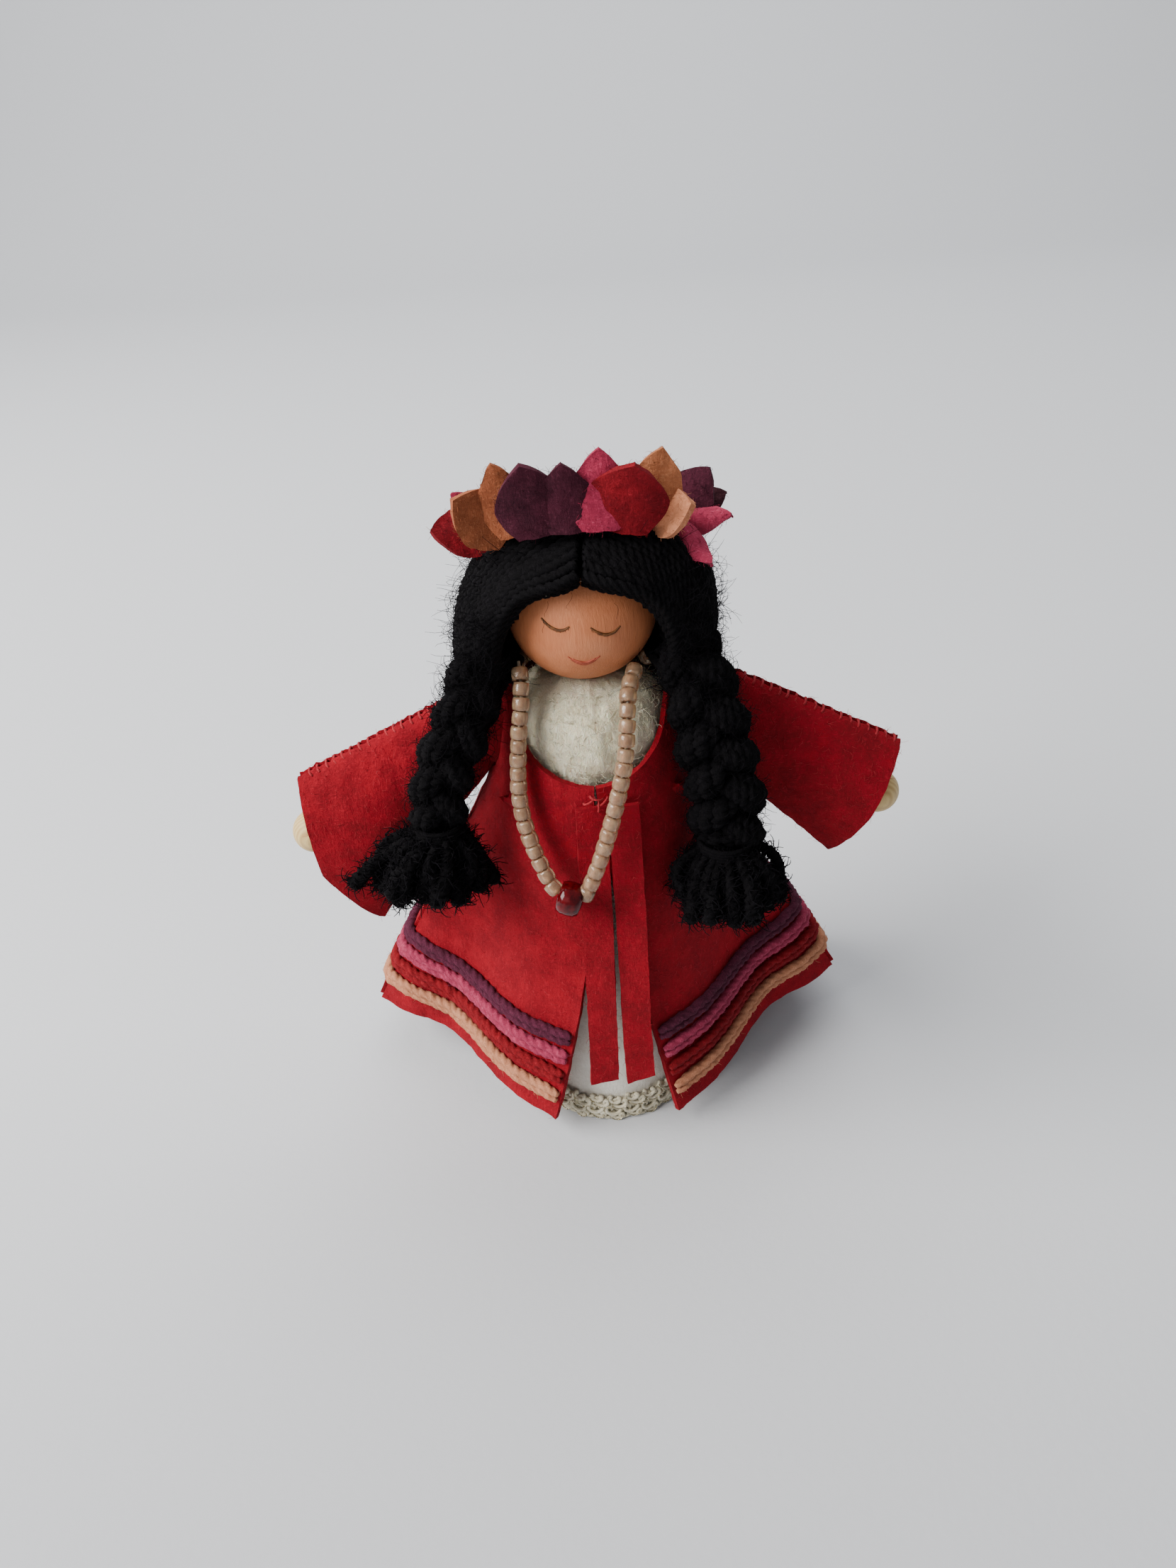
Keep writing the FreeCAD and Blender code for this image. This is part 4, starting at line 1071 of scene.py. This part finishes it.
def under_cap():
    """The inner layer of yarn that the strands lie on, closed, with the face left open."""
    bm = bmesh.new()
    bmesh.ops.create_uvsphere(bm, u_segments=64, v_segments=40, radius=16.2)
    bmesh.ops.translate(bm, vec=CAP_CENTRE, verts=bm.verts)
    view = radians(24)
    upward = Vector((0, sin(view), cos(view)))
    outward = Vector((0, -cos(view), sin(view)))
    open_faces = []
    for face in bm.faces:
        spot = face.calc_center_median() - HEAD_CENTRE
        across, up, out = abs(spot.x), spot.dot(upward), spot.dot(outward)
        if (out > 0 and up < 4.8 - 0.045 * across ** 2 and across < 14.5) or spot.z < -6.5:
            open_faces.append(face)
    bmesh.ops.delete(bm, geom=open_faces, context="FACES")
    bmesh.ops.recalc_face_normals(bm, faces=bm.faces)
    bmesh.ops.solidify(bm, geom=bm.faces[:], thickness=2.6)
    return closed_mesh(bm)


keep("under_hair", under_cap(), "doll", HAIR_YARN, "hair_yarn", ["parting_seam"])


def braid_width(name, share):
    """Half the width of a braid along its length."""
    top, middle, end = BRAID_HALF[name]
    return between(top, middle, share * 2) if share < 0.5 else between(middle, end, share * 2 - 1)


def braid_paths(name, rng):
    """A three-strand plait. Each strand is a bundle of yarns that weaves over and under."""
    centre = through(BRAIDS[name], BRAID_STEP)
    last = len(centre) - 1
    front = Vector((0, -1, 0.25))
    paths = []
    for strand in range(3):
        for lock in range(8):
            line = []
            for index, (point, ahead) in enumerate(zip(centre, headings(centre))):
                width = braid_width(name, index / last)
                wide = ahead.cross(front).normalized()
                deep = wide.cross(ahead).normalized()
                phase = TURN * (index * BRAID_STEP / WEAVE + strand / 3)
                side_step = wide * (0.52 * width * sin(phase))
                heart = point + side_step + deep * (0.26 * width * sin(2 * phase))
                spin = TURN * (lock / 7 + index * BRAID_STEP / BUNDLE_TWIST)
                out = 0.0 if lock == 7 else 0.33 * width
                line.append(heart + (wide * cos(spin) + deep * sin(spin)) * out)
            paths.append(spun(line, 0.235 * BRAID_HALF[name][1], 4.0, rng.uniform(0, TURN)))
    return paths


def tassel_paths(name, rng):
    """Yarn ends that fan out below the tie, each ending in a loose brush."""
    stations = TASSELS[name]
    paths = []
    for number in range(TASSEL_ENDS):
        angle, out = number * 2.39996, sqrt((number + 0.5) / TASSEL_ENDS)
        line = []
        for centre, wide, deep in stations:
            spread = out * rng.uniform(0.80, 1.10)
            line.append(Vector(centre) + ring(angle, spread * wide, spread * deep))
        line[1] += scattered(rng, 0.5, 0.4, 0.4)
        line[-1] += Vector((rng.gauss(0, 0.9), rng.gauss(0, 0.6), rng.uniform(-1.0, 2.2) + 2.0 * out * out))
        points = through(line, 0.8)
        path = spun(points, 0.95, 4.0, rng.uniform(0, TURN), (0.75, 1.7))
        tip, thick, turn = path[-1]
        ahead = (points[-1] - points[-2]).normalized()
        path += [(tip + ahead * 0.6, thick * 0.8, turn), (tip + ahead * 1.0, thick * 0.4, turn)]
        paths.append(path)
    return paths


def loose_hairs():
    """The few hairs that have come away from the hairline and lie on the face."""
    rng = random.Random(12)
    paths = []
    for across, rise in ((-27, 24), (-30, 12), (24, 20), (-8, 31)):
        line, lean = [], rng.uniform(-0.5, 0.5)
        for step in range(6):
            turn = across + step * 1.6 * lean + 1.5 * sin(step)
            lift = 0.25 + 0.35 * sin(pi * step / 5)
            line.append((face_spot(turn, rise - 2.2 * step, lift), 0.024, 0))
        paths.append(line)
    return swept(paths, HAIR_FINE)


def glue_wisps():
    """Thin threads of dried glue along the hairline."""
    rng = random.Random(4)
    paths = []
    for across, rise in ((-1, 38), (1, 37), (-20, 33), (-30, 28), (18, 33), (27, 26)):
        line = []
        for step in range(5):
            spot = face_spot(across + step * 1.5, rise + rng.uniform(-1.2, 1.2), 1.2 + 0.3 * step)
            line.append((spot, 0.045, 0))
        paths.append(line)
    return swept(paths, HAIR_FINE)


keep("loose_hairs", loose_hairs(), "doll", HAIR_FUZZ, "hair_yarn")
keep("glue_wisps", glue_wisps(), "doll", CREAM_FUZZ, "cream_wool")

for name in ("left", "right"):
    rng = random.Random(len(name))
    body = f"{name}_plait"
    plait = swept(braid_paths(name, rng), PLIED)
    braid = keep(f"{name}_plaited_hair", plait, body, HAIR_YARN, "hair_yarn", [f"{name}_braid"])
    ends = swept(tassel_paths(name, rng), PLIED)
    tassel = keep(f"{name}_yarn_ends", ends, body, HAIR_YARN, "hair_yarn", [f"{name}_tassel"])
    (x, y, z), wide, deep = TASSELS[name][0]
    winding = []
    for step in range(70):
        angle = TURN * step / 17
        spot = (x + wide * 0.95 * cos(angle), y + deep * 0.95 * sin(angle), z + 1.6 - step * 0.034)
        winding.append((spot, 0.42, angle))
    keep(
        f"{name}_winding", swept([winding], ROUND), body, HAIR_YARN, "hair_yarn", [f"{name}_braid_tie"]
    )
    fibres(f"{name}_plait_fuzz", braid, 4600, 4.0, 0.06, body, HAIR_FUZZ, "hair_yarn", 80, curl=1.6)
    fibres(f"{name}_tassel_fuzz", tassel, 5600, 3.2, 0.11, body, HAIR_FUZZ, "hair_yarn", 81, curl=1.0)


# ---------------------------------------------------------------- leaf crown

CROWN_CENTRE = Vector((0.7, 4.0, 117.0))
CROWN_RADIUS = 14.0
CROWN_TILT = 20.0
CORD_RADIUS = 1.2

# Each leaf: place round the crown and lean above level in degrees, length, width, how far it
# sits off the cord through its own thickness, and how much it curls.
LEAVES = {
    "red": [(192, 4, 10.5, 9.0, 0.6, 0.5), (295, 80, 11.0, 12.6, 1.9, 0.8), (78, 34, 10.0, 6.6, 0, 0.4)],
    "rust": [(214, 42, 11.0, 9.6, 0.8, 0.4), (226, 84, 11.5, 8.0, 0.2, 0.5), (33, 30, 10.0, 6.6, 0, 0.4)],
    "plum": [
        (244, 82, 11.5, 11.0, 1.2, 0.5), (262, 92, 10.5, 9.0, 0.0, 0.6), (352, 52, 10.5, 9.0, -0.4, 0.4),
        (125, 34, 10.0, 6.6, 0, 0.4),
    ],
    "raspberry": [(281, 100, 12.0, 9.4, 0.6, 0.4), (55, 40, 10.0, 6.6, 0, 0.4), (172, 42, 9.5, 6.6, 0, 0.4)],
    "tan": [(314, 86, 12.0, 9.0, 0.2, 0.4), (101, 42, 10.0, 6.6, 0, 0.4)],
    "peach": [(322, 22, 8.5, 8.0, 1.4, 0.2), (149, 34, 9.5, 6.6, 0, 0.4)],
    "brown": [(8, 14, 11.0, 7.4, 0.3, 0.5)],
    "pink": [(350, -4, 10.5, 5.6, 0.8, 1.2), (336, -44, 11.5, 5.6, 0.9, 1.2)],
}


def leaf_half(share):
    """Half the width of a leaf along its length, as a share of its widest."""
    if share < 0.42:
        return 0.6 + 0.4 * sin(pi / 2 * share / 0.42)
    return 0.02 + 0.98 * max(0.0, cos(pi / 2 * (share - 0.42) / 0.58)) ** 0.85


def leaf_place(turn, lean, length, width, layer, curl):
    """A blade that stands on the crown and, in front, turns its face to whoever looks at the doll."""
    turn = radians(turn)
    lean = radians(lean + CROWN_TILT * sin(turn))
    tilt = Matrix.Rotation(radians(-CROWN_TILT), 3, "X")
    radial = tilt @ Vector((cos(turn), sin(turn), 0))
    tangent = tilt @ Vector((-sin(turn), cos(turn), 0))
    tip = tilt @ (tilt.inverted() @ radial * cos(lean) + UP * sin(lean))
    sight = Vector((0, -0.84, 0.54))
    open_way = tip.cross(sight)
    if open_way.dot(tangent) < 0:
        open_way.negate()
    facing = 0.85 if sin(turn) < 0.3 else 0.0
    wide = tangent.lerp(open_way, facing)
    wide = (wide - tip * wide.dot(tip)).normalized()
    face = wide.cross(tip)
    if face.dot(radial * 0.5 + sight) < 0:
        face.negate()
    foot = CROWN_CENTRE + radial * (CROWN_RADIUS + 0.9)

    def place(across, down):
        side = (2 * across - 1) * leaf_half(down) * width / 2
        run = length * down - 1.2
        cup = curl * ((side / (width / 2)) ** 2 * 2.0 - 2.4 * (down - 0.3) ** 2)
        return foot + wide * side + tip * run + face * (layer * 0.6 + 0.55 - cup)

    return place


for number, (colour, leaves) in enumerate(LEAVES.items()):
    bm = bmesh.new()
    for index, leaf in enumerate(leaves):
        seed = number * 5 + index
        gather(bm, laid_felt(12, 16, leaf_place(*leaf), 1.1, (0, 4, 100), seed=seed, rough=0.12))
    cloth, slot = LEAF_FELT[colour], f"leaf_{colour}"
    blades = keep(f"{colour}_leaves", closed_mesh(bm), "doll", cloth, slot, [f"leaves_{colour}"], 45)
    count = 170 * len(leaves)
    fibres(f"{colour}_leaf_nap", blades, count, 1.3, NAP_THICK, "doll", cloth, slot, 200 + number)


# ---------------------------------------------------------------- necklace

LEFT_STRAND = [
    (-10.9, -6.6, 98.4), (-10.6, -10.2, 94.6), (-11.6, -12.2, 89.4), (-12.4, -13.4, 82.8),
    (-12.7, -15.0, 76.2), (-11.6, -16.6, 70.2), (-9.7, -18.4, 64.8), (-7.6, -20.4, 60.9),
]
RIGHT_STRAND = [
    (-3.6, -21.3, 59.6), (-1.7, -21.1, 63.2), (0.9, -20.4, 69.9), (3.3, -19.3, 77.6),
    (5.2, -17.5, 85.0), (5.9, -14.9, 90.8), (6.3, -11.6, 94.8), (7.9, -7.8, 96.4),
]
NAPE = [
    (-12.0, -3.4, 95.2), (-11.6, 1.6, 94.6), (-8.6, 6.8, 94.0), (-3.0, 9.7, 93.8),
    (3.0, 9.6, 93.8), (8.2, 6.2, 94.0), (10.6, 0.8, 94.6), (10.2, -4.0, 95.4),
]
THREAD = 0.25
BEAD_PITCH = 2.36


def soft_route(name, points, thick):
    """A smooth free line with the route's points as its control points, as a round thread."""
    curve = bpy.data.curves.new(name, "CURVE")
    curve.dimensions = "3D"
    spline = curve.splines.new("NURBS")
    spline.points.add(len(points) - 1)
    for point, spot in zip(spline.points, points):
        point.co = (*(Vector(spot) * MM), 1)
    spline.order_u = 3
    spline.use_endpoint_u = True
    curve.resolution_u = 16
    curve.bevel_depth = thick * MM
    curve.bevel_resolution = 2
    curve.use_fill_caps = True
    return curve


def route_points(curve):
    """Points along a route's own line, in millimetres."""
    bare = curve.copy()
    bare.bevel_depth = 0
    route = bpy.data.objects.new("bare", bare)
    mesh = bpy.data.meshes.new_from_object(route)
    points = [vert.co / MM for vert in mesh.vertices]
    bpy.data.meshes.remove(mesh)
    bpy.data.objects.remove(route)
    bpy.data.curves.remove(bare)
    return points


def bead_outline(radius, length, bore):
    """Half section of a rounded bead, from one end of its bore to the other and back."""
    corners = [(bore, -length / 2 * 0.86)]
    for step in range(7):
        angle = pi * (step / 6 - 0.5)
        corners.append((between(bore + 0.25, radius, cos(angle) ** 0.36), length / 2 * sin(angle)))
    corners.append((bore, length / 2 * 0.86))
    return corners


def bead_at(target, centre, ahead, radius, length, bore, steps):
    bm = turned(bead_outline(radius, length, bore), steps)
    aim(bm, centre, ahead)
    bmesh.ops.recalc_face_normals(bm, faces=bm.faces)
    gather(target, hand_over(bm))


def stations_between(points, first, last):
    """Bead centres and directions along part of a route, at the bead's own pitch."""
    line = evenly(points, 0.1)
    step = run_length(line) / (len(line) - 1)
    made = []
    run = first
    while run <= last + 1e-6:
        index = min(max(int(run / step), 1), len(line) - 2)
        made.append((line[index], (line[index + 1] - line[index - 1]).normalized()))
        run += BEAD_PITCH
    return made


def beads(name, stations, body, nodes, seed):
    """Seed beads with their lining, each a little different."""
    rng = random.Random(seed)
    bm, lining = bmesh.new(), bmesh.new()
    for centre, ahead in stations:
        radius, length = 1.42 * rng.uniform(0.96, 1.03), 2.30 * rng.uniform(0.97, 1.01)
        lean = (ahead + scattered(rng, 0.05, 0.05, 0.05)).normalized()
        bead_at(bm, centre, lean, radius, length, 0.62, 28)
        bead_at(lining, centre, lean, 0.60, length * 0.9, 0.30, 14)
    strand = keep(name, closed_mesh(bm), body, BEAD_GLASS, "bead_glass", nodes, 60)
    core = keep(name + "_lining", closed_mesh(lining), body, BEAD_LINER, "bead_glass", (), 60)
    return strand, core


thread_curve = soft_route("necklace_cord", LEFT_STRAND + RIGHT_STRAND, THREAD)
loop_line = route_points(thread_curve)
thread_curve.materials.append(BEAD_THREAD)
necklace = shown("necklace_cord", thread_curve)
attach(necklace, "necklace")
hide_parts("necklace_thread")

PENDANT_LENGTH = 4.4
low_left, low_right = Vector(LEFT_STRAND[-1]), Vector(RIGHT_STRAND[0])
lowest = (low_left + low_right) / 2
pendant_spot = min(range(len(loop_line)), key=lambda index: (loop_line[index] - lowest).length)
pendant_run = run_length(loop_line[:pendant_spot + 1])
clear = PENDANT_LENGTH / 2 + BEAD_PITCH / 2 + 0.05
left_stops = stations_between(loop_line, pendant_run - clear - BEAD_PITCH * 16, pendant_run - clear)
right_stops = stations_between(loop_line, pendant_run + clear, run_length(loop_line) - 0.6)
left_beads, left_core = beads("left_strand", left_stops, "necklace", ["necklace_left_beads"], 5)
right_beads, right_core = beads("right_strand", right_stops, "necklace", ["necklace_right_beads"], 6)
bm = bmesh.new()
bead_at(bm, loop_line[pendant_spot], (low_right - low_left).normalized(), 3.0, PENDANT_LENGTH, 0.6, 56)
nodes = ["necklace_pendant"]
pendant = keep("red_pendant", closed_mesh(bm), "necklace", PENDANT_GLASS, "pendant_glass", nodes, 60)

nape_curve = soft_route("nape", NAPE, THREAD)
nape_line = route_points(nape_curve)
bpy.data.curves.remove(nape_curve)
beads("nape_strand", stations_between(nape_line, 1.2, run_length(nape_line) - 1.0), "doll", ["nape_beads"], 7)


# ---------------------------------------------------------------- ties and the stitch above them

TIE_WIDE = 5.3
TIE_FALL = [
    (-16.3, 75.2), (-16.9, 67.6), (-17.4, 60.2), (-18.2, 52.6), (-18.8, 45.4), (-19.4, 37.8),
    (-20.2, 30.4), (-20.8, 23.0), (-21.3, 15.8),
]
TIE_ACROSS = {
    "left": (-0.8, -0.9, -1.1, -1.0, -1.3, -1.4, -1.6, -1.6, -1.9),
    "right": (4.5, 4.7, 4.6, 4.8, 4.7, 4.8, 4.7, 4.9, 5.0),
}
TIES = {name: [(x, *fall) for x, fall in zip(across, TIE_FALL)] for name, across in TIE_ACROSS.items()}


def tie_place(line, slant):
    last = len(line) - 1

    def place(across, down):
        where = down * last
        index = min(int(where), last - 1)
        centre = line[index].lerp(line[index + 1], where - index)
        over = (across - 0.5) * TIE_WIDE
        twist = 0.10 * sin(down * 7 + slant)
        drop = slant * (across - 0.5) * ease((down - 0.9) * 10)
        return centre + Vector((over, over * twist, drop))

    return place


for name, slant in (("left", 0.5), ("right", 1.6)):
    route = soft_route(f"{name}_tie_route", TIES[name], 0)
    line = evenly(route_points(route), 0.8)
    bpy.data.curves.remove(route)
    cloth = laid_felt(8, 70, tie_place(line, slant), FELT, (2, 0, 46), seed=21 + len(name), rough=0.08)
    tie = keep(f"{name}_felt_tie", cloth, "doll", RED_FELT, "red_felt", [f"{name}_tie"], 40)
    fibres(f"{name}_tie_nap", tie, 300, 1.2, NAP_THICK, "doll", RED_FUZZ, "red_felt", 90)
    tuple(Vector(TIES[name][0]) * MM)
    [tuple(point * MM) for point in line]


def front_stitches():
    """A few thread loops that close the coat."""
    paths = []
    for across, rise, lean in ((-1.1, 76.9, 0.5), (0.1, 77.4, -0.3), (1.1, 76.6, 0.7), (0.4, 75.8, 1.5)):
        way = Vector((cos(lean), 0, sin(lean)))
        centre = Vector((across, -16.4, rise))
        loop = []
        for step in range(8):
            swing = pi * step / 7
            spot = centre + way * (1.1 * cos(swing)) + Vector((0, -0.75 * sin(swing), 0))
            loop.append((spot, 0.2, step))
        paths.append(loop)
    return swept(paths, ROUND)


keep("closing_stitches", front_stitches(), "doll", RED_THREAD, "red_thread", ["front_stitch"])


# ---------------------------------------------------------------- parts that keep their own shape

for node, finish in {
    "peg_body": HAND_WOOD,
    "shoulder_wire": WIRE_METAL,
    "left_arm_wire": WIRE_METAL,
    "right_arm_wire": WIRE_METAL,
    "crown_cord": BAND_YARN["plum"],
    "nape_thread": BEAD_THREAD,
}.items():
    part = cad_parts[node]
    part.data.materials.clear()
    part.data.materials.append(finish)


# ---------------------------------------------------------------- floor, light and camera


PAPER_HALF = 2.2
PAPER_FLAT = 0.9
PAPER_BEND = 0.5


def paper_sweep():
    """Pale paper that runs along the floor and curves up behind, darkened towards the front by painted shade.
    """
    corners = [(-1.6, 0.0), (PAPER_FLAT, 0.0)]
    for step in range(1, 13):
        angle = pi / 2 * step / 12
        corners.append((PAPER_FLAT + PAPER_BEND * sin(angle), PAPER_BEND - PAPER_BEND * cos(angle)))
    corners.append((PAPER_FLAT + PAPER_BEND, 2.4))
    bm = bmesh.new()
    verts = [bm.verts.new((-PAPER_HALF, depth, height)) for depth, height in corners]
    edges = [bm.edges.new(pair) for pair in zip(verts, verts[1:])]
    made = bmesh.ops.extrude_edge_only(bm, edges=edges)["geom"]
    far_side = [item for item in made if isinstance(item, bmesh.types.BMVert)]
    bmesh.ops.translate(bm, vec=(2 * PAPER_HALF, 0, 0), verts=far_side)
    bmesh.ops.recalc_face_normals(bm, faces=bm.faces)
    mesh = hand_over(bm)
    mesh.shade_smooth()
    finish = Finish("paper", {"Roughness": 0.9, "Specular IOR Level": 0.2})
    tooth = finish.cloud(finish.place(), 0.6, 3.0)
    finish.relief(tooth, 0.05)
    # Painted shade: the paper's colour darkens towards the front of the floor, in place of light falling off
    # there.
    depth = finish.node("ShaderNodeSeparateXYZ", {}, {0: finish.spot}, 1)
    front_shaded_paper = finish.mix("A3A4A8", "C9CACD", depth.over(-0.22, 0.02))
    mesh.materials.append(finish.wear(Base_Color=finish.mix(front_shaded_paper, "CBCCCF", tooth * 0.1)))
    shown("paper", mesh)


def area_light(name, place, target, size, power, colour):
    lamp = bpy.data.lights.new(name, "AREA")
    lamp.shape = "RECTANGLE"
    lamp.size, lamp.size_y = size
    lamp.energy = power
    lamp.color = colour
    item = shown(name, lamp)
    item.location = place
    item.rotation_euler = (Vector(target) - Vector(place)).to_track_quat("-Z", "Y").to_euler()


def studio():
    world = bpy.data.worlds.new("room")
    world.use_nodes = True
    background = world.node_tree.nodes["Background"]
    background.inputs["Color"].default_value = (0.92, 0.96, 1.0, 1)
    background.inputs["Strength"].default_value = 0.36
    bpy.context.scene.world = world
    area_light("window", (-0.82, -0.24, 0.72), (0, 0, 0.06), (0.9, 0.7), 31.0, (1.0, 0.985, 0.96))
    area_light("far_wall", (0.1, 0.6, 1.1), (0, 0.9, 0.1), (1.2, 0.8), 12.0, (0.98, 0.99, 1.0))
    area_light("front_fill", (-0.5, -0.9, 0.7), (0, 0, 0.06), (0.9, 0.7), 1.0, (0.97, 0.98, 1.0))


CAMERA_PLACE = (-0.0011, -0.1778, 0.185)
CAMERA_DOWN = radians(33)
CAMERA_LEAN = radians(4.1)


def camera():
    """Above the doll's front, looking down at it, leaning a little to one side."""
    lens = bpy.data.cameras.new("view")
    lens.sensor_width = 36
    lens.lens = 27.05
    lens.clip_start = 0.01
    ahead = Vector((0, cos(CAMERA_DOWN), -sin(CAMERA_DOWN)))
    level = Vector((1, 0, 0))
    right = level * cos(CAMERA_LEAN) - level.cross(ahead) * sin(CAMERA_LEAN)
    turn = Matrix((right, right.cross(ahead), -ahead)).transposed()
    item = shown("view", lens)
    item.matrix_world = Matrix.Translation(CAMERA_PLACE) @ turn.to_4x4()
    bpy.context.scene.camera = item


paper_sweep()
studio()
camera()

for section in (PLIED, ROUND, HAIR_FINE):
    bpy.data.objects.remove(section)
